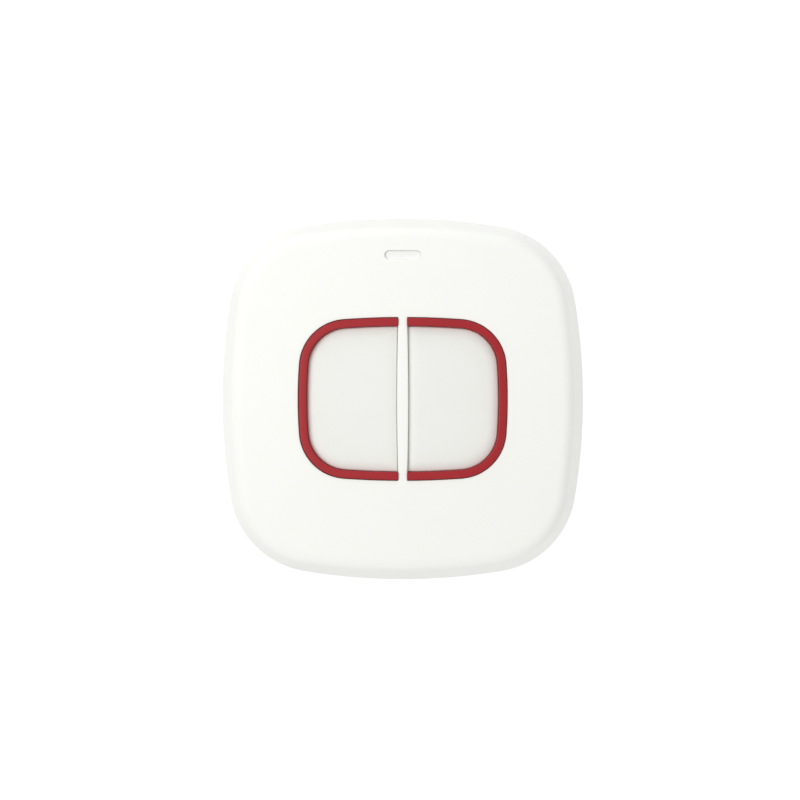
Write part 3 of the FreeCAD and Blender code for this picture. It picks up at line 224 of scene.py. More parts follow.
def outlineOf(shape, sideSteps=18, cornerSteps=30):
    # Eight arcs whose centres stay the same at every inset, so insets match point for point.
    sideHub = shape["halfX"] - shape["sideRadius"]
    endHub = shape["halfY"] - shape["endRadius"]
    fromSide = shape["sideRadius"] - shape["cornerRadius"]
    fromEnd = shape["endRadius"] - shape["cornerRadius"]
    apart = math.hypot(sideHub, endHub)
    along = (fromSide**2 - fromEnd**2 + apart**2) / (2 * apart)
    across = math.sqrt(fromSide**2 - along**2)
    directionX, directionY = -sideHub / apart, endHub / apart
    cornerX = sideHub + along * directionX - across * directionY
    cornerY = along * directionY + across * directionX
    return {
        "sideHub": sideHub,
        "endHub": endHub,
        "corner": (cornerX, cornerY),
        "sideTurn": math.atan2(cornerY, cornerX - sideHub),
        "endTurn": math.atan2(cornerY - endHub, cornerX),
        "sideSteps": sideSteps,
        "cornerSteps": cornerSteps,
        **shape,
    }


def quarterArcs(outline, endAngle):
    # Centres, radii and directions from the middle of the right side up to endAngle.
    sideTurn, endTurn = outline["sideTurn"], outline["endTurn"]
    sideSteps, cornerSteps = outline["sideSteps"], outline["cornerSteps"]
    arcs = (
        ((outline["sideHub"], 0.0), outline["sideRadius"], 0.0, sideTurn, sideSteps),
        (outline["corner"], outline["cornerRadius"], sideTurn, endTurn, cornerSteps),
        ((0.0, outline["endHub"]), outline["endRadius"], endTurn, endAngle, sideSteps),
    )
    centres, radii, directions = [], [], []
    for number, (centre, radius, start, end, steps) in enumerate(arcs):
        for angle in np.linspace(start, end, steps + 1)[min(number, 1):]:
            centres.append(centre)
            radii.append(radius)
            directions.append((math.cos(angle), math.sin(angle)))
    return np.array(centres), np.array(radii), np.array(directions)


def wholeLoop(outline):
    centres, radii, directions = quarterArcs(outline, math.pi / 2)

    def allRound(values, signX, signY):
        half = np.concatenate([values, (values * signX)[::-1][1:]])
        return np.concatenate([half, (half * signY)[::-1][1:-1]])

    flipX, flipY = np.array([-1.0, 1.0]), np.array([1.0, -1.0])
    return (
        allRound(centres, flipX, flipY),
        allRound(radii, 1.0, 1.0),
        allRound(directions, flipX, flipY),
    )


def insetLoop(loop, inset):
    centres, radii, directions = loop
    return centres + (radii - inset)[:, None] * directions


def barEdge(y, clearance, bow):
    # Distance of the divider bar's side from the middle line at height y of the picture.
    if bow == 0:
        return barForm["width"] / 2 + clearance + y * 0
    span = ringOutline["halfY"]
    radius = (span**2 / bow + bow) / 2
    return np.sqrt(radius**2 - y**2) - radius + barForm["width"] / 2 + bow + clearance


def halfLoop(outline, side, inset, clearance, bow=barForm["bow"], barSteps=barForm["steps"]):
    # D-shaped loop on one side of the divider bar.
    steps = np.broadcast_to(clearance, (barSteps + 1,))
    radius = outline["endRadius"] - inset
    endAngle = math.pi / 2
    for _ in range(8):  # settles the arc's end on the bar's side
        y = outline["endHub"] + radius * math.sin(endAngle)
        endAngle = math.acos(float(barEdge(y, steps[0], bow)) / radius)
    centres, radii, directions = quarterArcs(outline, endAngle)
    upper = centres + (radii - inset)[:, None] * directions
    lower = (upper * [1, -1])[::-1][:-1]
    y = np.linspace(upper[-1, 1], -upper[-1, 1], barSteps + 1)
    straight = np.column_stack([barEdge(y, steps, bow), y])[1:-1]
    return np.concatenate([lower, upper, straight]) * [side, 1]


def pillLoop(centreY, length, width, grow, steps=20, edge=0.4):
    radius = width / 2 + grow
    hub = (length - width) / 2
    turns = np.linspace(-math.pi / 2, math.pi / 2, steps + 1)
    end = np.column_stack([hub + radius * np.cos(turns), radius * np.sin(turns)])
    count = max(2, int(length / edge))
    x = np.linspace(hub, -hub, count + 1)[1:-1]
    straight = np.column_stack([x, np.full(count - 1, radius)])
    half = np.concatenate([end, straight])
    return np.concatenate([half, -half]) + [0, centreY]


def circleLoop(radius, steps=128, centre=(0.0, 0.0)):
    turns = np.linspace(0, 2 * math.pi, steps, endpoint=False)
    return np.column_stack([np.cos(turns), np.sin(turns)]) * radius + centre


def domeHeight(points, crown, radius):
    return crown - radius + np.sqrt(radius**2 - (points**2).sum(1))


def distanceTo(loop, points):
    # Shortest way from each point to the closed loop.
    shortest = np.full(len(points), np.inf)
    for start, end in zip(loop, np.roll(loop, -1, 0)):
        run = end - start
        share = np.clip((points - start) @ run / (run @ run), 0, 1)
        away = points - start - share[:, None] * run
        shortest = np.minimum(shortest, (away**2).sum(1))
    return np.sqrt(shortest)


def lift(points, height):
    return np.column_stack([points, np.broadcast_to(height, len(points))])


def strip(rows):
    # Quads between loops of equal count.
    count = len(rows[0])
    nextOne = (np.arange(count) + 1) % count
    faces = []
    for row in range(len(rows) - 1):
        lower, upper = row * count, (row + 1) * count
        faces += [
            (lower + here, lower + there, upper + there, upper + here)
            for here, there in enumerate(nextOne)
        ]
    return np.concatenate(rows), faces


def lid(loop):
    return loop, [tuple(range(len(loop)))]


def isInside(points, loop, tiny=1e-12):
    inside = np.zeros(len(points), bool)
    for (x1, y1), (x2, y2) in zip(loop, np.roll(loop, -1, 0)):
        crosses = (y1 > points[:, 1]) != (y2 > points[:, 1])
        if not crosses.any():
            continue
        where = x1 + (points[:, 1] - y1) * (x2 - x1) / ((y2 - y1) or tiny)
        inside ^= crosses & (points[:, 0] < where)
    return inside


def patch(outer, holes, height, spacing, away=0.6, batches=20, tiny=1e-9):
    # Even triangles inside the outer loop and outside the holes, lifted by height(points).
    loops = [outer, *holes]
    edges, start = [], 0
    for loop in loops:
        count = len(loop)
        edges += [(start + here, start + (here + 1) % count) for here in range(count)]
        start += count
    border = np.concatenate(loops)
    low, high = outer.min(0), outer.max(0)
    rowStep = spacing * math.sqrt(3) / 2
    grid = []
    for number, y in enumerate(np.arange(low[1], high[1], rowStep)):
        x = np.arange(low[0] + (number % 2) * spacing / 2, high[0], spacing)
        grid.append(np.column_stack([x, np.full(len(x), y)]))
    grid = np.concatenate(grid)
    kept = isInside(grid, outer)
    for hole in holes:
        kept &= ~isInside(grid, hole)
    grid = grid[kept]
    nearest = np.concatenate(
        [
            np.sqrt(((part[:, None] - border[None]) ** 2).sum(2)).min(1)
            for part in np.array_split(grid, batches)
        ]
    )
    grid = grid[nearest > away * spacing]
    points = np.concatenate([border, grid])
    made = delaunay_2d_cdt([Vector(point) for point in points], edges, [], 0, tiny)
    flat = np.array([tuple(point) for point in made[0]])
    faces = np.array([tuple(face) for face in made[2]])
    middles = flat[faces].mean(1)
    kept = isInside(middles, outer)
    for hole in holes:
        kept &= ~isInside(middles, hole)
    return lift(flat, height(flat)), [tuple(int(i) for i in face) for face in faces[kept]]


def meshObject(name, parts, reach=2e-7):
    points, faces, start = [], [], 0
    for partPoints, partFaces in parts:
        points.append(partPoints)
        faces += [tuple(start + corner for corner in face) for face in partFaces]
        start += len(partPoints)
    mesh = bpy.data.meshes.new(name)
    mesh.from_pydata((np.concatenate(points) * mm).tolist(), [], faces)
    work = bmesh.new()
    work.from_mesh(mesh)
    bmesh.ops.remove_doubles(work, verts=work.verts, dist=reach)
    bmesh.ops.recalc_face_normals(work, faces=work.faces)
    work.to_mesh(mesh)
    work.free()
    piece = bpy.data.objects.new(name, mesh)
    bpy.context.scene.collection.objects.link(piece)
    return piece


def prism(name, loop, foot, top):
    low, high = lift(loop, foot), lift(loop, top)
    return meshObject(name, [lid(low), strip([low, high]), lid(high)])


def domedPrism(name, loop, foot, crown, radius, spacing=1.6):
    def height(points):
        return domeHeight(points, crown, radius)

    low, high = lift(loop, foot), lift(loop, height(loop))
    return meshObject(name, [lid(low), strip([low, high]), patch(loop, [], height, spacing)])


def lathe(name, profile, centre=(0.0, 0.0), steps=160):
    rows = [lift(circleLoop(radius, steps, centre), level) for radius, level in profile]
    return meshObject(name, [lid(rows[0]), strip(rows), lid(rows[-1])])


def columns(name, places, profile, steps=64):
    parts = []
    for centre in places:
        rows = [lift(circleLoop(radius, steps, centre), level) for radius, level in profile]
        parts += [lid(rows[0]), strip(rows), lid(rows[-1])]
    return meshObject(name, parts)


def posts(name, places, radius, foot, top):
    return columns(name, places, [(radius, foot), (radius, top)])


def box(name, low, high):
    (x1, y1, z1), (x2, y2, z2) = low, high
    return prism(name, np.array([(x1, y1), (x2, y1), (x2, y2), (x1, y2)], float), z1, z2)


def wedge(name, radius, width, middle, foot, top, inner=8.0, steps=25):
    turns = np.radians(np.linspace(middle - width / 2, middle + width / 2, steps))
    arc = np.column_stack([np.cos(turns), np.sin(turns)])
    return prism(name, np.concatenate([arc * radius, arc[::-1] * inner]), foot, top)


def softCorner(radius, level, soft, side=-1, steps=7):
    # Radii and levels round an upright wall's lower edge, which side turns in or out.
    return [
        (radius + side * soft * (1 - math.sin(angle)), level + soft * (1 - math.cos(angle)))
        for angle in np.linspace(0, math.pi / 2, steps)
    ]


def plainMesh(piece):
    ready = piece.evaluated_get(bpy.context.evaluated_depsgraph_get())
    made = bpy.data.meshes.new_from_object(ready)
    old = piece.data
    piece.modifiers.clear()
    piece.data = made
    bpy.data.meshes.remove(old)
    return piece


def weld(mesh, reach=5e-7):
    # Closes the hairline edges that a cut leaves.
    work = bmesh.new()
    work.from_mesh(mesh)
    bmesh.ops.remove_doubles(work, verts=work.verts, dist=reach)
    bmesh.ops.dissolve_degenerate(work, edges=work.edges, dist=reach)
    work.to_mesh(mesh)
    work.free()


def carve(piece, operation, *tools):
    for tool in tools:
        change = piece.modifiers.new("carve", "BOOLEAN")
        change.operation = operation
        change.solver = "MANIFOLD"
        change.object = tool
        bpy.context.view_layer.update()
        plainMesh(piece)
        bpy.data.objects.remove(tool)
    weld(piece.data)
    return piece


def madeByNodes(piece, tree, values):
    modifier = piece.modifiers.new("nodes", "NODES")
    modifier.node_group = tree
    for item in tree.interface.items_tree:
        if item.in_out == "INPUT" and item.name in values:
            modifier[item.identifier] = values[item.name]
    bpy.context.view_layer.update()
    return plainMesh(piece)


def dress(piece, body, material, slot, *replaced, angle=32):
    for face in piece.data.polygons:
        face.use_smooth = True
    piece.data.set_sharp_from_angle(angle=math.radians(angle))
    piece.data.materials.clear()
    piece.data.materials.append(material)
    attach(piece, body)
    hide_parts(*replaced)
    return piece


def connect(tree, *pairs):
    for source, target in pairs:
        tree.links.new(source, target)


def newMaterial(name):
    material = bpy.data.materials.new(name)
    material.use_nodes = True
    tree = material.node_tree
    shader = tree.nodes["Principled BSDF"]
    place = tree.nodes.new("ShaderNodeTexCoord")
    return material, tree, shader, place.outputs["Object"]


def noise(tree, place, size, detail=2.0, roughness=0.5):
    texture = tree.nodes.new("ShaderNodeTexNoise")
    texture.inputs["Scale"].default_value = 1 / (size * mm)
    texture.inputs["Detail"].default_value = detail
    texture.inputs["Roughness"].default_value = roughness
    tree.links.new(place, texture.inputs["Vector"])
    return texture.outputs["Fac"]


def spread(tree, source, low, high, noiseRange=(0.3, 0.7)):
    # Maps a noise, which stays near the middle, onto low to high.
    node = tree.nodes.new("ShaderNodeMapRange")
    node.inputs["From Min"].default_value, node.inputs["From Max"].default_value = noiseRange
    node.inputs["To Min"].default_value = low
    node.inputs["To Max"].default_value = high
    tree.links.new(source, node.inputs["Value"])
    return node.outputs["Result"]


def blendColour(tree, factor, first, second):
    node = tree.nodes.new("ShaderNodeMix")
    node.data_type = "RGBA"
    node.inputs["A"].default_value = (*first, 1)
    node.inputs["B"].default_value = (*second, 1)
    tree.links.new(factor, node.inputs["Factor"])
    return node.outputs["Result"]


def bump(tree, shader, height, depth, strength=1.0):
    node = tree.nodes.new("ShaderNodeBump")
    node.inputs["Strength"].default_value = strength
    node.inputs["Distance"].default_value = depth * mm
    tree.links.new(height, node.inputs["Height"])
    tree.links.new(node.outputs["Normal"], shader.inputs["Normal"])


def unevenGloss(tree, source, finish):
    low = finish["roughness"] - finish["glossChange"]
    return spread(tree, source, low, finish["roughness"] + finish["glossChange"])


def mouldedPlastic(name, finish):
    # Plastic from an etched mould: fine grain, faint flow clouds in colour and gloss.
    material, tree, shader, place = newMaterial(name)
    clouds = noise(tree, place, finish["cloudSize"], detail=3.0)
    tint = blendColour(tree, spread(tree, clouds, 0, 1), finish["colour"], finish["cloudColour"])
    gloss = noise(tree, place, finish["glossSize"], detail=4.0)
    level = unevenGloss(tree, gloss, finish)
    connect(tree, (tint, shader.inputs["Base Color"]), (level, shader.inputs["Roughness"]))
    grain = noise(tree, place, finish["grainSize"], detail=3.0, roughness=0.6)
    bump(tree, shader, grain, finish["grainDepth"])
    shader.inputs["IOR"].default_value = finish["ior"]
    shader.inputs["Specular IOR Level"].default_value = finish["specular"]
    return material


def sheetMetal(name, finish):
    # Rolled or plated metal: fine streaks one way, cloudy plating.
    material, tree, shader, place = newMaterial(name)
    stretch = tree.nodes.new("ShaderNodeMapping")
    stretch.inputs["Scale"].default_value = finish["streak"]
    tree.links.new(place, stretch.inputs["Vector"])
    streaks = noise(tree, stretch.outputs["Vector"], finish["grainSize"], detail=3.0)
    clouds = noise(tree, place, finish["cloudSize"])
    tint = blendColour(tree, spread(tree, clouds, 0, 1), finish["colour"], finish["cloudColour"])
    level = unevenGloss(tree, streaks, finish)
    connect(tree, (tint, shader.inputs["Base Color"]), (level, shader.inputs["Roughness"]))
    bump(tree, shader, streaks, finish["grainDepth"])
    shader.inputs["Metallic"].default_value = 1.0
    return material


plasticLooks = {
    "whiteShell": {
        "colour": (0.93, 0.937, 0.896),
        "cloudColour": (0.922, 0.929, 0.887),
        "cloudSize": 9.0,
        "roughness": 0.5,
        "glossSize": 2.5,
        "glossChange": 0.04,
        "grainSize": 0.16,
        "grainDepth": 0.004,
        "ior": 1.45,
        "specular": 0.25,
    },
    "paleGreyPad": {
        "colour": (0.85, 0.858, 0.818),
        "cloudColour": (0.84, 0.848, 0.808),
        "cloudSize": 6.0,
        "roughness": 0.5,
        "glossSize": 1.6,
        "glossChange": 0.05,
        "grainSize": 0.2,
        "grainDepth": 0.007,
        "ior": 1.5,
        "specular": 0.4,
    },
    "redFrame": {
        "colour": (0.36, 0.017, 0.023),
        "cloudColour": (0.345, 0.016, 0.021),
        "cloudSize": 5.0,
        "roughness": 0.45,
        "glossSize": 1.2,
        "glossChange": 0.05,
        "grainSize": 0.12,
        "grainDepth": 0.003,
        "ior": 1.46,
        "specular": 0.32,
    },
    "milkyPipe": {
        "colour": (0.94, 0.945, 0.92),
        "cloudColour": (0.925, 0.93, 0.905),
        "cloudSize": 2.0,
        "roughness": 0.25,
        "glossSize": 0.8,
        "glossChange": 0.05,
        "grainSize": 0.3,
        "grainDepth": 0.002,
        "ior": 1.58,
        "specular": 0.5,
    },
    "greySilicone": {
        "colour": (0.55, 0.55, 0.54),
        "cloudColour": (0.5, 0.5, 0.49),
        "cloudSize": 2.0,
        "roughness": 0.7,
        "glossSize": 0.6,
        "glossChange": 0.08,
        "grainSize": 0.15,
        "grainDepth": 0.01,
        "ior": 1.42,
        "specular": 0.35,
    },
    "blackHousing": {
        "colour": (0.022, 0.022, 0.023),
        "cloudColour": (0.03, 0.03, 0.031),
        "cloudSize": 1.5,
        "roughness": 0.48,
        "glossSize": 0.5,
        "glossChange": 0.08,
        "grainSize": 0.1,
        "grainDepth": 0.006,
        "ior": 1.5,
        "specular": 0.5,
    },
    "tanCeramic": {
        "colour": (0.46, 0.33, 0.21),
        "cloudColour": (0.52, 0.39, 0.26),
        "cloudSize": 0.6,
        "roughness": 0.55,
        "glossSize": 0.3,
        "glossChange": 0.08,
        "grainSize": 0.06,
        "grainDepth": 0.004,
        "ior": 1.6,
        "specular": 0.5,
    },
}
metalLooks = {
    "tinnedSheet": {
        "colour": (0.74, 0.73, 0.7),
        "cloudColour": (0.66, 0.65, 0.62),
        "cloudSize": 2.0,
        "roughness": 0.34,
        "glossChange": 0.08,
        "grainSize": 0.3,
        "grainDepth": 0.003,
        "streak": (1.0, 12.0, 12.0),
    },
    "nickelCan": {
        "colour": (0.76, 0.755, 0.74),
        "cloudColour": (0.7, 0.695, 0.68),
        "cloudSize": 5.0,
        "roughness": 0.27,
        "glossChange": 0.08,
        "grainSize": 0.5,
        "grainDepth": 0.002,
        "streak": (1.0, 16.0, 1.0),
    },
    "zincScrew": {
        "colour": (0.62, 0.63, 0.63),
        "cloudColour": (0.52, 0.53, 0.52),
        "cloudSize": 0.8,
        "roughness": 0.36,
        "glossChange": 0.08,
        "grainSize": 0.2,
        "grainDepth": 0.004,
        "streak": (1.0, 1.0, 1.0),
    },
}
materials = {name: mouldedPlastic(name, finish) for name, finish in plasticLooks.items()}
materials.update({name: sheetMetal(name, finish) for name, finish in metalLooks.items()})


def laminate(name, finish):
    # Green solder mask over copper runs: a woven glass ripple with darker and lighter lines.
    material, tree, shader, place = newMaterial(name)
    runs = tree.nodes.new("ShaderNodeTexBrick")
    runs.inputs["Scale"].default_value = 1 / (finish["runLength"] * mm)
    runs.inputs["Mortar Size"].default_value = finish["runWidth"]
    runs.inputs["Color1"].default_value = (*finish["mask"], 1)
    runs.inputs["Color2"].default_value = (*finish["maskOverGround"], 1)
    runs.inputs["Mortar"].default_value = (*finish["maskOverRun"], 1)
    tree.links.new(place, runs.inputs["Vector"])
    tree.links.new(runs.outputs["Color"], shader.inputs["Base Color"])
    weave = tree.nodes.new("ShaderNodeTexWave")
    weave.inputs["Scale"].default_value = 1 / (finish["weaveSize"] * mm)
    weave.inputs["Distortion"].default_value = finish["weaveDistortion"]
    tree.links.new(place, weave.inputs["Vector"])
    bump(tree, shader, weave.outputs["Fac"], finish["weaveDepth"])
    gloss = spread(tree, noise(tree, place, finish["glossSize"]), *finish["roughness"])
    tree.links.new(gloss, shader.inputs["Roughness"])
    return material


laminateLook = {
    "mask": (0.018, 0.15, 0.06),
    "maskOverGround": (0.022, 0.18, 0.075),
    "maskOverRun": (0.04, 0.26, 0.11),
    "runLength": 3.2,
    "runWidth": 0.05,
    "weaveSize": 0.8,
    "weaveDepth": 0.004,
    "weaveDistortion": 1.5,
    "glossSize": 1.5,
    "roughness": (0.28, 0.4),
}
materials["greenBoard"] = laminate("greenBoard", laminateLook)
print("materials made:", len(materials))

bodyArcs = outlineOf(bodyOutline)
bodyLoop = wholeLoop(bodyArcs)
ringArcs = outlineOf(ringOutline)
ringLoop = wholeLoop(ringArcs)
bossPlaces = [(x * bossForm["place"], y * bossForm["place"]) for x in (-1, 1) for y in (-1, 1)]
boardBossPlaces = [(x * frontForm["boardBossX"], 0.0) for x in (-1, 1)]
stakeAcross = ringOutline["halfX"] + frontForm["stakeReach"]
stakeUp = ringOutline["halfY"] + frontForm["stakeReach"]
stakePlaces = [(stakeAcross, 0.0), (-stakeAcross, 0.0), (0.0, stakeUp), (0.0, -stakeUp)]


def frontDome(points):
    return domeHeight(points, frontForm["crown"], frontForm["crownRadius"])


def sideInset(level):
    foot = frontForm["parting"]
    return frontForm["taper"] * (level - foot) / (frontForm["crown"] - foot)


def rolledRows(sideRows=4, roundRows=12):
    # The drafted side and the rolling-ball round into the dome, from the parting line up.
    slope = sideInset(frontForm["parting"] + 1)
    lean = math.hypot(1, slope)
    radius = frontForm["edgeRound"]
    hub = np.array([0, 0, frontForm["crown"] - frontForm["crownRadius"]])
    level = np.full(len(bodyLoop[1]), frontForm["crown"] - radius)
    for _ in range(20):  # settles the ball where it touches both side and dome
        inset = sideInset(level) + radius * lean
        centre = insetLoop(bodyLoop, inset)
        level = hub[2] + np.sqrt((frontForm["crownRadius"] - radius) ** 2 - (centre**2).sum(1))
    centre = lift(centre, level)
    outward = lift(bodyLoop[2], slope) / lean
    upward = centre - hub
    upward /= np.linalg.norm(upward, axis=1)[:, None]
    between = np.arccos((outward * upward).sum(1))[:, None]
    bevel = frontForm["bevel"]
    foot = frontForm["parting"]
    rows = [lift(insetLoop(bodyLoop, bevel), foot)]
    tangent = centre + radius * outward
    low = lift(insetLoop(bodyLoop, sideInset(foot + bevel)), foot + bevel)
    for share in np.linspace(0, 1, sideRows + 1):
        rows.append(low + (tangent - low) * share)
    for share in np.linspace(0, 1, roundRows + 1)[1:]:
        mixed = np.sin((1 - share) * between) * outward + np.sin(share * between) * upward
        rows.append(centre + radius * (mixed / np.sin(between)))
    return rows


def edgeRows(loopAt, height, roundOf, steps=7):
    # Rows of a rounded upper edge that turns down into a wall: loopAt(grow) and a radius per point.
    rows = []
    for angle in np.linspace(0, math.pi / 2, steps):
        loop = loopAt(1 - math.sin(angle))
        rows.append(lift(loop, height(loop) - roundOf * (1 - math.cos(angle))))
    return rows


def windowRows(side, foot):
    # The edge of one pad's opening: a rounder edge along the bar, blended out at its ends.
    barSteps, seam, small = barForm["steps"], ringForm["seam"], frontForm["windowRound"]
    travel = np.linspace(0, 2 * ringOutline["halfY"], barSteps + 1)
    nearEnd = np.minimum(travel, travel[::-1])
    share = np.clip(nearEnd / barForm["blend"], 0, 1)
    share = share * share * (3 - 2 * share)
    barRound = small + (barForm["edgeRound"] - small) * share
    count = len(halfLoop(ringArcs, side, 0, 0))
    roundOf = np.full(count, small)
    roundOf[-(barSteps - 1):] = barRound[1:-1]

    def loopAt(grow):
        return halfLoop(ringArcs, side, -seam - small * grow, -barRound * grow)

    rows = edgeRows(loopAt, frontDome, roundOf)
    return rows + [lift(loopAt(0), foot)]


def slotLoop(grow):
    return pillLoop(slotForm["y"], slotForm["length"], slotForm["width"], grow)


def slotRows(foot):
    def loopAt(grow):
        return slotLoop(slotForm["edgeRound"] * grow)

    return edgeRows(loopAt, frontDome, slotForm["edgeRound"]) + [lift(loopAt(0), foot)]


def makeFrontShell():
    rows = rolledRows()
    foot = frontForm["parting"]
    holes = [windowRows(left, foot), windowRows(right, foot), slotRows(foot)]
    rims = [hole[0][:, :2] for hole in holes]
    feet = [hole[-1][:, :2] for hole in holes]
    face = patch(rows[-1][:, :2], rims, frontDome, frontForm["faceSpacing"])
    base = patch(rows[0][:, :2], feet, lambda flat: foot, frontForm["baseSpacing"])
    shell = meshObject("frontShell", [face, base, strip(rows), *[strip(hole) for hole in holes]])

    wall = frontForm["wall"]
    below, above = foot - clear, frontForm["crown"] + clear
    lower = lift(insetLoop(bodyLoop, wall + sideInset(below)), below)

    def ceiling(points):
        return domeHeight(points, frontForm["crown"] - wall, frontForm["crownRadius"] - wall)

    level = np.full(len(bodyLoop[1]), frontForm["crown"] - wall)
    for _ in range(10):  # settles the inner wall's top on the ceiling
        loop = insetLoop(bodyLoop, wall + sideInset(level))
        level = ceiling(loop)
    roof = patch(loop, [], ceiling, frontForm["ceilingSpacing"])
    room = meshObject("room", [lid(lower), strip([lower, lift(loop, level)]), roof])
    collarLoop = insetLoop(ringLoop, -frontForm["collarReach"])
    collar = prism("collar", collarLoop, frontForm["collarLevel"], above)
    land = prism("land", slotLoop(slotForm["landReach"]), slotForm["land"], above)
    bosses = posts("bosses", bossPlaces, bossForm["radius"], bossForm["meet"], above)
    boardRadius, boardFoot = frontForm["boardBossRadius"], frontForm["boardBossFoot"]
    boardBosses = posts("boardBosses", boardBossPlaces, boardRadius, boardFoot, above)
    carve(room, "DIFFERENCE", collar, land, bosses, boardBosses)
    pilots = posts("pilots", bossPlaces, bossForm["passage"], foot, bossForm["pilotTop"])
    boardRadius, boardTop = frontForm["boardPilotRadius"], frontForm["boardPilotTop"]
    boardPilots = posts("boardPilots", boardBossPlaces, boardRadius, below, boardTop)
    carve(shell, "DIFFERENCE", room, pilots, boardPilots)
    neck, shoulder = frontForm["stakeRadius"], frontForm["stakeFoot"]
    head, headFoot = frontForm["stakeHeadRadius"], shoulder - frontForm["stakeHeadHeight"]
    profile = [
        (head * frontForm["stakeTipRatio"], headFoot),
        (head, headFoot + frontForm["stakeHeadRound"]),
        (head, shoulder),
        (neck, shoulder),
        (neck, frontForm["collarLevel"] + frontForm["stakeRoot"]),
    ]
    return carve(shell, "UNION", columns("stakes", stakePlaces, profile))


def makeRearShell():
    parting, bevel = frontForm["parting"], frontForm["bevel"]
    slope = rearForm["taper"] / parting
    lean = math.hypot(1, slope)
    radius = rearForm["edgeRound"]
    centreInset = slope * (parting - radius) + radius * lean
    start = math.atan2(slope, 1)
    tangentInset = centreInset - radius * math.cos(start)
    tangentLevel = radius - radius * math.sin(start)
    places = [(bevel, parting), (slope * bevel, parting - bevel)]
    for share in rearForm["sideShares"]:
        level = parting - bevel + (tangentLevel - parting + bevel) * share
        places.append((slope * (parting - level), level))
    places.append((tangentInset, tangentLevel))
    for angle in np.linspace(start, math.pi / 2, rearForm["roundSteps"])[1:]:
        inset = centreInset - radius * math.cos(angle)
        places.append((inset, radius - radius * math.sin(angle)))
    rows = [lift(insetLoop(bodyLoop, inset), level) for inset, level in places]
    back = patch(rows[-1][:, :2], [], lambda flat: 0.0, rearForm["backSpacing"])
    shell = meshObject("rearShell", [lid(rows[0]), strip(rows), back])

    lipTop, lipInset = parting + rearForm["lipHeight"], rearForm["lipInset"]
    lip = prism("lip", insetLoop(bodyLoop, lipInset), parting - rearForm["lipHeight"], lipTop)
    hollowLoop = insetLoop(bodyLoop, lipInset + rearForm["lipWall"])
    hollow = prism("hollow", hollowLoop, rearForm["floor"], lipTop + clear)
    landTop = rearForm["doorLand"]
    land = lathe("land", [(rearForm["doorLandRadius"], 0), (rearForm["doorLandRadius"], landTop)])
    meet = bossForm["meet"]
    bosses = posts("bosses", bossPlaces, bossForm["radius"], bossForm["rearFoot"], meet)
    carve(hollow, "DIFFERENCE", land)
    carve(shell, "UNION", lip)
    carve(shell, "DIFFERENCE", hollow)
    carve(shell, "UNION", bosses)

    def flared(radius, top):
        flare = softCorner(radius, 0, rearForm["edgeSoftness"], side=1, steps=6)
        return [(flare[0][0], -clear), *flare, (radius, top)]

    recess = lathe("recess", flared(rearForm["recessRadius"], rearForm["recessDepth"]))
    hole = lathe("hole", [(rearForm["holeRadius"], 0), (rearForm["holeRadius"], landTop + clear)])
    notches = [
        wedge(
            f"notch{number}",
            rearForm["notchRadius"],
            rearForm["notchAngle"],
            angle - rearForm["notchTurn"],
            rearForm["notchFoot"],
            rearForm["notchTop"],
        )
        for number, angle in enumerate(doorForm["tabAngles"])
    ]
    sinkProfile = flared(bossForm["sinkRadius"], bossForm["sinkDepth"])
    sinks = columns("sinks", bossPlaces, sinkProfile, bossForm["sinkSteps"])
    narrow, foot = bossForm["passage"], bossForm["passageFoot"]
    passages = posts("passages", bossPlaces, narrow, foot, meet + clear)
    return carve(shell, "DIFFERENCE", recess, hole, *notches, sinks, passages)


def makePad(name, side):
    gap, radius, crown = padForm["gap"], padForm["edgeRound"], padForm["crown"]
    inset = ringForm["band"] + gap
    border = halfLoop(ringArcs, side, inset, gap)

    def height(points):
        # The dome, with a soft shoulder all round.
        nearEdge = 1 - np.clip(distanceTo(border, points) / padForm["shoulderWidth"], 0, 1)
        fall = padForm["shoulderDrop"] * nearEdge**2
        return domeHeight(points, crown, padForm["crownRadius"]) - fall

    rows = [lift(border, padForm["foot"])]
    for angle in np.linspace(0, math.pi / 2, padForm["roundSteps"]):
        shrink = radius * (1 - math.cos(angle))
        loop = halfLoop(ringArcs, side, inset + shrink, gap + shrink)
        rows.append(lift(loop, height(loop) - radius * (1 - math.sin(angle))))
    face = patch(rows[-1][:, :2], [], height, padForm["faceSpacing"])
    pad = meshObject(name, [lid(rows[0]), strip(rows), face])
    flangeInset = inset - padForm["flangeReach"]
    middle = barForm["width"] / 2
    flangeLoop = halfLoop(ringArcs, side, flangeInset, padForm["split"] - middle, 0)
    flange = prism("flange", flangeLoop, padForm["flangeFoot"], padForm["foot"] + overlap)
    wall = padForm["wall"]
    hollowLoop = halfLoop(ringArcs, side, inset + wall, barForm["bow"] + gap + wall, 0)
    below = padForm["flangeFoot"] - clear
    hollow = domedPrism("hollow", hollowLoop, below, crown - wall, padForm["crownRadius"] - wall)
    stemX, reach = side * padForm["stemX"], padForm["ribReach"]
    stem = posts("stem", [(stemX, 0.0)], padForm["stemRadius"], padForm["stemFoot"], reach)
    ribFoot = crown - wall - padForm["ribDepth"]
    half = padForm["ribWidth"] / 2
    longRib = box("longRib", (stemX - half, -reach, ribFoot), (stemX + half, reach, reach))
    crossRib = box("crossRib", (stemX - reach, -half, ribFoot), (stemX + reach, half, reach))
    carve(hollow, "DIFFERENCE", stem, longRib, crossRib)
    carve(pad, "UNION", flange)
    return carve(pad, "DIFFERENCE", hollow)


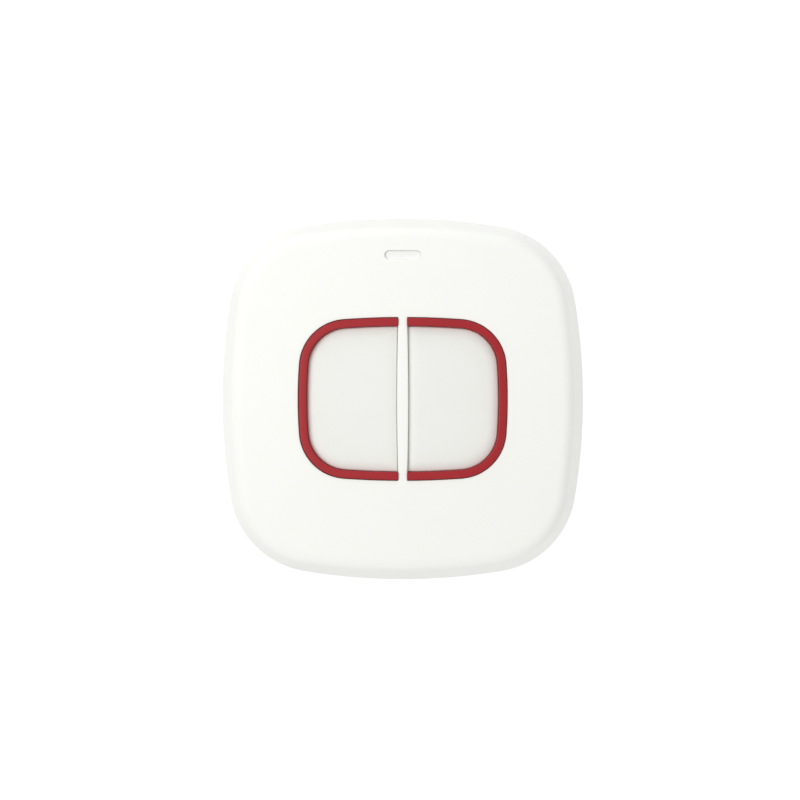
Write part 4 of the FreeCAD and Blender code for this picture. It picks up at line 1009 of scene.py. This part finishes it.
def newNodeTree(name, *sizes):
    tree = bpy.data.node_groups.new(name, "GeometryNodeTree")
    tree.interface.new_socket("Geometry", in_out="INPUT", socket_type="NodeSocketGeometry")
    for size in sizes:
        tree.interface.new_socket(size, in_out="INPUT", socket_type="NodeSocketFloat")
    tree.interface.new_socket("Geometry", in_out="OUTPUT", socket_type="NodeSocketGeometry")
    return tree, tree.nodes.new("NodeGroupInput"), tree.nodes.new("NodeGroupOutput")


def sweepTree(material):
    # A rounded band swept along the outline, its top lifted onto the front's dome.
    sizes = ("Band", "Height", "Edge Round", "Crown Level", "Dome Radius")
    tree, start, end = newNodeTree("bandOnDome", *sizes)

    def reckon(operation, first, second=None):
        node = tree.nodes.new("ShaderNodeMath")
        node.operation = operation
        for socket, value in zip(node.inputs, (first, second)):
            if isinstance(value, bpy.types.NodeSocket):
                tree.links.new(value, socket)
            elif value is not None:
                socket.default_value = value
        return node.outputs[0]

    path = tree.nodes.new("GeometryNodeMeshToCurve")
    upright = tree.nodes.new("GeometryNodeSetCurveNormal")
    upright.mode = "Z_UP"
    section = tree.nodes.new("GeometryNodeCurvePrimitiveQuadrilateral")
    soften = tree.nodes.new("GeometryNodeFilletCurve")
    soften.mode = "POLY"
    soften.inputs["Count"].default_value = ringForm["roundSteps"]
    shift = tree.nodes.new("GeometryNodeTransform")
    offset = tree.nodes.new("ShaderNodeCombineXYZ")
    sweep = tree.nodes.new("GeometryNodeCurveToMesh")
    drape = tree.nodes.new("GeometryNodeSetPosition")
    rise = tree.nodes.new("ShaderNodeCombineXYZ")
    place = tree.nodes.new("GeometryNodeInputPosition")
    parts = tree.nodes.new("ShaderNodeSeparateXYZ")
    paint = tree.nodes.new("GeometryNodeSetMaterial")
    paint.inputs["Material"].default_value = material
    realize = tree.nodes.new("GeometryNodeRealizeInstances")
    level, height = start.outputs["Crown Level"], start.outputs["Height"]
    # The section's x runs outwards and its y downwards.
    middle = reckon("SUBTRACT", level, reckon("MULTIPLY", height, 0.5))
    tree.links.new(place.outputs[0], parts.inputs[0])
    acrossSquared = reckon("MULTIPLY", parts.outputs["X"], parts.outputs["X"])
    upSquared = reckon("MULTIPLY", parts.outputs["Y"], parts.outputs["Y"])
    radius = start.outputs["Dome Radius"]
    fromAxis = reckon("ADD", acrossSquared, upSquared)
    under = reckon("SUBTRACT", reckon("MULTIPLY", radius, radius), fromAxis)
    fall = reckon("SUBTRACT", reckon("SQRT", under), radius)
    isTop = reckon("GREATER_THAN", parts.outputs["Z"], middle)
    connect(
        tree,
        (start.outputs["Geometry"], path.inputs["Mesh"]),
        (path.outputs["Curve"], upright.inputs["Curve"]),
        (upright.outputs["Curve"], sweep.inputs["Curve"]),
        (start.outputs["Band"], section.inputs["Width"]),
        (height, section.inputs["Height"]),
        (section.outputs["Curve"], soften.inputs["Curve"]),
        (start.outputs["Edge Round"], soften.inputs["Radius"]),
        (reckon("MULTIPLY", start.outputs["Band"], -0.5), offset.inputs["X"]),
        (reckon("MULTIPLY", middle, -1.0), offset.inputs["Y"]),
        (soften.outputs["Curve"], shift.inputs["Geometry"]),
        (offset.outputs["Vector"], shift.inputs["Translation"]),
        (shift.outputs["Geometry"], sweep.inputs["Profile Curve"]),
        (sweep.outputs["Mesh"], drape.inputs["Geometry"]),
        (reckon("MULTIPLY", fall, isTop), rise.inputs["Z"]),
        (rise.outputs["Vector"], drape.inputs["Offset"]),
        (drape.outputs["Geometry"], realize.inputs["Geometry"]),
        (realize.outputs["Geometry"], paint.inputs["Geometry"]),
        (paint.outputs["Geometry"], end.inputs["Geometry"]),
    )
    return tree


def makeRing():
    crown = frontForm["crown"] + ringForm["proud"]
    foot, top = ringForm["foot"], ringForm["flangeTop"]
    loop = insetLoop(ringLoop, 0)
    count = len(loop)
    mesh = bpy.data.meshes.new("redRing")
    edges = [(here, (here + 1) % count) for here in range(count)]
    mesh.from_pydata((lift(loop, 0.0) * mm).tolist(), edges, [])
    ring = bpy.data.objects.new("redRing", mesh)
    bpy.context.scene.collection.objects.link(ring)
    values = {
        "Band": ringForm["band"],
        "Height": crown - ringForm["bandFoot"],
        "Edge Round": ringForm["edgeRound"],
        "Crown Level": crown,
        "Dome Radius": frontForm["crownRadius"] + ringForm["proud"],
    }
    values = {name: value * mm for name, value in values.items()}
    madeByNodes(ring, sweepTree(materials["redFrame"]), values)
    flangeLoop = wholeLoop(outlineOf(ringOutline, *ringForm["flangeSteps"]))
    outer = lift(insetLoop(flangeLoop, -ringForm["flangeReach"]), foot)
    inner = lift(insetLoop(flangeLoop, ringForm["band"] + ringForm["flangeLip"]), foot)
    rise = up * (top - foot)
    flange = meshObject("flange", [strip([outer, outer + rise, inner + rise, inner, outer])])
    y = np.linspace(-ringForm["notchReach"], ringForm["notchReach"], ringForm["notchSteps"])
    side = np.column_stack([barEdge(y, ringForm["notchGap"], barForm["bow"]), y])
    bothSides = np.concatenate([side, side[::-1] * [-1, 1]])
    notch = prism("notch", bothSides, top, crown + 2 * clear)
    holes = posts("holes", stakePlaces, ringForm["stakeHole"], foot - clear, top + overlap)
    carve(ring, "UNION", flange)
    return carve(ring, "DIFFERENCE", notch, holes)


def makeWindow():
    def pill(grow):
        # Sits a hair low in its slot, so that the gap shows along the top.
        return slotLoop(grow) + windowForm["shift"]

    def height(points):
        return frontDome(points) - windowForm["recess"]

    gap, radius, reach = windowForm["gap"], windowForm["edgeRound"], windowForm["flangeReach"]
    pipe = -windowForm["pipeInset"] - gap
    rows = [
        lift(pill(pipe), windowForm["pipeFoot"]),
        lift(pill(pipe), windowForm["flangeFoot"]),
        lift(pill(reach), windowForm["flangeFoot"]),
        lift(pill(reach), slotForm["land"]),
        lift(pill(-gap), slotForm["land"]),
    ]
    for angle in np.linspace(0, math.pi / 2, 6):
        loop = pill(-gap - radius * (1 - math.cos(angle)))
        rows.append(lift(loop, height(loop) - radius * (1 - math.sin(angle))))
    face = patch(rows[-1][:, :2], [], height, windowForm["faceSpacing"])
    return meshObject("slotWindow", [lid(rows[0]), strip(rows), face])


def makeDoor():
    face, radius = doorForm["face"], doorForm["radius"]
    hub, hubTop = doorForm["hubRadius"], doorForm["hubTop"]
    profile = [
        (doorForm["centreRadius"], face),
        (doorForm["middleRadius"], face),
        *softCorner(radius, face, doorForm["edgeRound"]),
        (radius, doorForm["rimTop"]),
        (hub, doorForm["rimTop"]),
        (hub, hubTop),
        (hub - doorForm["hubWall"], hubTop),
        (hub - doorForm["hubWall"], doorForm["discTop"]),
        (doorForm["centreRadius"], doorForm["discTop"]),
    ]
    door = lathe("coinDoor", profile, steps=doorForm["steps"])
    reach, width, foot = doorForm["tabRadius"], doorForm["tabAngle"], doorForm["tabFoot"]
    root = hub - doorForm["hubWall"] / 2
    tabs = [
        wedge(f"tab{number}", reach, width, angle, foot, hubTop, root)
        for number, angle in enumerate(doorForm["tabAngles"])
    ]
    carve(door, "UNION", *tabs)
    soft = doorForm["slotRound"]

    def coinLoop(grow):
        return pillLoop(0, doorForm["slotLength"], doorForm["slotWidth"], grow)

    rows = [lift(coinLoop(soft), face - clear)]
    for angle in np.linspace(0, math.pi / 2, 6):
        loop = coinLoop(soft * (1 - math.sin(angle)))
        rows.append(lift(loop, face + soft * (1 - math.cos(angle))))
    rows.append(lift(loop, face + doorForm["slotDepth"]))
    slot = meshObject("coinSlot", [lid(rows[0]), strip(rows), lid(rows[-1])])
    return carve(door, "DIFFERENCE", slot)


def makeScrew():
    # One screw about its own axis: low pan head with a cross recess, shank and point.
    foot, shank = screwForm["headFoot"], screwForm["shankRadius"]
    profile = [
        *softCorner(screwForm["headRadius"], foot, screwForm["headRound"], steps=6),
        (screwForm["headRadius"], screwForm["headTop"]),
        (shank, screwForm["headTop"]),
        (shank, screwForm["tip"] - shank),
        (shank * screwForm["tipRatio"], screwForm["tip"]),
    ]
    screw = lathe("screwSet", profile, steps=screwForm["steps"])
    long, narrow = screwForm["driveLength"] / 2, screwForm["driveWidth"] / 2
    below, deep = foot - clear, foot + screwForm["driveDepth"]
    arms = [
        box("armX", (-long, -narrow, below), (long, narrow, deep)),
        box("armY", (-narrow, -long, below), (narrow, long, deep)),
    ]
    return carve(screw, "DIFFERENCE", *arms)


def screwTree(material):
    # Four copies of the screw, at the corners of a rectangle.
    tree, start, end = newNodeTree("screwsAtCorners", "Spacing X", "Spacing Y")
    corners = tree.nodes.new("GeometryNodeMeshGrid")
    corners.inputs["Vertices X"].default_value = 2
    corners.inputs["Vertices Y"].default_value = 2
    place = tree.nodes.new("GeometryNodeInstanceOnPoints")
    realize = tree.nodes.new("GeometryNodeRealizeInstances")
    paint = tree.nodes.new("GeometryNodeSetMaterial")
    paint.inputs["Material"].default_value = material
    connect(
        tree,
        (start.outputs["Spacing X"], corners.inputs["Size X"]),
        (start.outputs["Spacing Y"], corners.inputs["Size Y"]),
        (corners.outputs["Mesh"], place.inputs["Points"]),
        (start.outputs["Geometry"], place.inputs["Instance"]),
        (place.outputs["Instances"], realize.inputs["Geometry"]),
        (realize.outputs["Geometry"], paint.inputs["Geometry"]),
        (paint.outputs["Geometry"], end.inputs["Geometry"]),
    )
    return tree


white, grey, red = (materials[name] for name in ("whiteShell", "paleGreyPad", "redFrame"))
dress(makeFrontShell(), "housing", white, "white_housing", "front_cover")
print("front shell made")
dress(makeRearShell(), "housing", white, "white_housing", "rear_cover")
print("rear shell made")
dress(makeRing(), "housing", red, "red_ring", "button_ring")
dress(makePad("leftPad", left), "left_press", grey, "grey_pad", "left_button")
dress(makePad("rightPad", right), "right_press", grey, "grey_pad", "right_button")
dress(makeWindow(), "housing", materials["milkyPipe"], "clear_window", "indicator_window")
print("ring, pads and window made")
dress(makeDoor(), "door", white, "white_housing", "battery_door")
spacing = 2 * bossForm["place"] * mm
spacings = {"Spacing X": spacing, "Spacing Y": spacing}
zinc = materials["zincScrew"]
screwSet = madeByNodes(makeScrew(), screwTree(zinc), spacings)
dress(screwSet, "housing", zinc, "screw_steel", "case_screws")
print("door and screws made")

innerFinishes = {
    "greySilicone": ("housing_seal", "door_seal", "left_return_pad", "right_return_pad"),
    "blackHousing": ("left_switch", "right_switch", "controller_chip", "battery_holder"),
    "paleGreyPad": ("left_plunger", "right_plunger"),
    "greenBoard": ("circuit_board", "radio_module"),
    "tinnedSheet": ("radio_shield", "crystal", "antenna", "positive_contact", "negative_contact"),
    "tanCeramic": ("board_capacitors",),
    "milkyPipe": ("indicator_lamp",),
    "nickelCan": ("coin_cell",),
    "zincScrew": ("board_screws",),
}
for name, members in innerFinishes.items():
    for member in members:
        node = nodes[member]
        if not node.material_slots:
            node.data.materials.append(materials[name])
        for place in node.material_slots:
            place.material = materials[name]
print("inner parts finished:", sum(len(members) for members in innerFinishes.values()))

stageLook = {
    "floorSize": 4.0,  # metres
    "floorOpening": 4.2,
    "floorDrop": 0.00001,  # metres
    "floorColour": (0.45, 0.45, 0.45),
    # an even glow from the floor onto the object: painted bounce light, not reflected light
    "floorPaintedBounce": 0.32,
    "floorShade": (0.24, 0.24, 0.24),
    "floorGlow": 0.86,
    "worldLevel": 0.585,
    "worldColour": (1.0, 1.0, 1.0),
}


def plainRays(tree):
    # 1 for rays that show the background itself: from the camera, in gloss and through glass.
    path = tree.nodes.new("ShaderNodeLightPath")
    first, second = (tree.nodes.new("ShaderNodeMath") for _ in range(2))
    first.operation = second.operation = "MAXIMUM"
    connect(
        tree,
        (path.outputs["Is Camera Ray"], first.inputs[0]),
        (path.outputs["Is Glossy Ray"], first.inputs[1]),
        (first.outputs[0], second.inputs[0]),
        (path.outputs["Is Transmission Ray"], second.inputs[1]),
    )
    return second.outputs[0]


def makeFloor():
    # The sheet is open under the flat back, where nothing shows from above,
    # so that the back is lit in views from below.
    opening = insetLoop(bodyLoop, stageLook["floorOpening"]) * mm
    rim = opening / np.abs(opening).max(1)[:, None] * stageLook["floorSize"] / 2
    level = -stageLook["floorDrop"]
    points, faces = strip([lift(rim, level), lift(opening, level)])
    mesh = bpy.data.meshes.new("floor")
    mesh.from_pydata(points.tolist(), [], faces)
    floor = bpy.data.objects.new("floor", mesh)
    bpy.context.scene.collection.objects.link(floor)
    material = bpy.data.materials.new("palePaper")
    material.use_nodes = True
    tree = material.node_tree
    tree.nodes.remove(tree.nodes["Principled BSDF"])
    paper, shade = (tree.nodes.new("ShaderNodeBsdfDiffuse") for _ in range(2))
    paintedBounce, glow = (tree.nodes.new("ShaderNodeEmission") for _ in range(2))
    lit, seen = (tree.nodes.new("ShaderNodeAddShader") for _ in range(2))
    mix, oneWay = (tree.nodes.new("ShaderNodeMixShader") for _ in range(2))
    below = tree.nodes.new("ShaderNodeNewGeometry")
    clearSheet = tree.nodes.new("ShaderNodeBsdfTransparent")
    paper.inputs["Color"].default_value = (*stageLook["floorColour"], 1)
    shade.inputs["Color"].default_value = (*stageLook["floorShade"], 1)
    # painted bounce light: this glow lights the object from the floor regardless of the floor's
    # shade
    paintedBounce.inputs["Strength"].default_value = stageLook["floorPaintedBounce"]
    glow.inputs["Strength"].default_value = stageLook["floorGlow"]
    # Seen directly it is white with a faint shadow. The light that it throws back is pale paper's
    # plus an even glow, a painted bounce light that shines on the object even where the floor lies
    # in shade. From below it is clear.
    connect(
        tree,
        (paper.outputs[0], lit.inputs[0]),
        (paintedBounce.outputs[0], lit.inputs[1]),
        (shade.outputs[0], seen.inputs[0]),
        (glow.outputs[0], seen.inputs[1]),
        (plainRays(tree), mix.inputs[0]),
        (lit.outputs[0], mix.inputs[1]),
        (seen.outputs[0], mix.inputs[2]),
        (below.outputs["Backfacing"], oneWay.inputs[0]),
        (mix.outputs[0], oneWay.inputs[1]),
        (clearSheet.outputs[0], oneWay.inputs[2]),
        (oneWay.outputs[0], tree.nodes["Material Output"].inputs["Surface"]),
    )
    mesh.materials.append(material)


def makeWorld():
    world = bpy.data.worlds.new("studio")
    bpy.context.scene.world = world
    world.use_nodes = True
    tree = world.node_tree
    background = tree.nodes["Background"]
    background.inputs["Color"].default_value = (*stageLook["worldColour"], 1)
    level = tree.nodes.new("ShaderNodeMapRange")
    level.inputs["To Min"].default_value = stageLook["worldLevel"]
    level.inputs["To Max"].default_value = 1.0
    connect(
        tree,
        (plainRays(tree), level.inputs["Value"]),
        (level.outputs["Result"], background.inputs["Strength"]),
    )


# Softboxes: a high one from the left, and low ones that open the sides at the lower right
# and the top. Surfaces mirror the high one alone, so a flat view isn't washed out.
lampLooks = {
    "keyLamp": {
        "place": (-0.54, 0.06, 0.7),
        "size": 0.5,
        "power": 3.54,
        "colour": (1.0, 1.0, 0.99),
        "mirrored": True,
    },
    "sideLamp": {
        "place": (0.5, -0.6, 0.2),
        "size": 0.4,
        "power": 1.18,
        "colour": (1.0, 0.95, 0.975),
        "mirrored": False,
    },
    "topLamp": {
        "place": (0.14, 0.72, 0.15),
        "size": 0.4,
        "power": 1.65,
        "colour": (1.0, 1.0, 1.0),
        "mirrored": False,
    },
}


def makeLamp(name, look):
    lamp = bpy.data.lights.new(name, "AREA")
    lamp.size, lamp.energy, lamp.color = look["size"], look["power"], look["colour"]
    holder = bpy.data.objects.new(name, lamp)
    bpy.context.scene.collection.objects.link(holder)
    holder.visible_glossy = look["mirrored"]
    holder.location = look["place"]
    holder.rotation_euler = (-Vector(look["place"])).to_track_quat("-Z", "Y").to_euler()


# Straight down on the front. The centre and width are in pixels of the photograph.
view = {
    "lens": 600.0,
    "sensor": 36.0,
    "imageSize": 800,
    "centreX": 402.75,
    "centreY": 398.95,
    "width": 361.0,
    "clip": (0.01, 10),
}


def makeCamera():
    pixel = 2 * bodyOutline["halfX"] * mm / view["width"]
    distance = pixel * view["imageSize"] * view["lens"] / view["sensor"]
    camera = bpy.data.cameras.new("camera")
    camera.lens, camera.sensor_width = view["lens"], view["sensor"]
    camera.clip_start, camera.clip_end = view["clip"]
    holder = bpy.data.objects.new("camera", camera)
    bpy.context.scene.collection.objects.link(holder)
    middle = view["imageSize"] / 2
    holder.location = (
        (middle - view["centreX"]) * pixel,
        (view["centreY"] - middle) * pixel,
        frontForm["parting"] * mm + distance,
    )
    bpy.context.scene.camera = holder


makeFloor()
makeWorld()
for name, look in lampLooks.items():
    makeLamp(name, look)
makeCamera()
bpy.context.scene.view_settings.view_transform = "Standard"
print("stage, lamps and camera made")
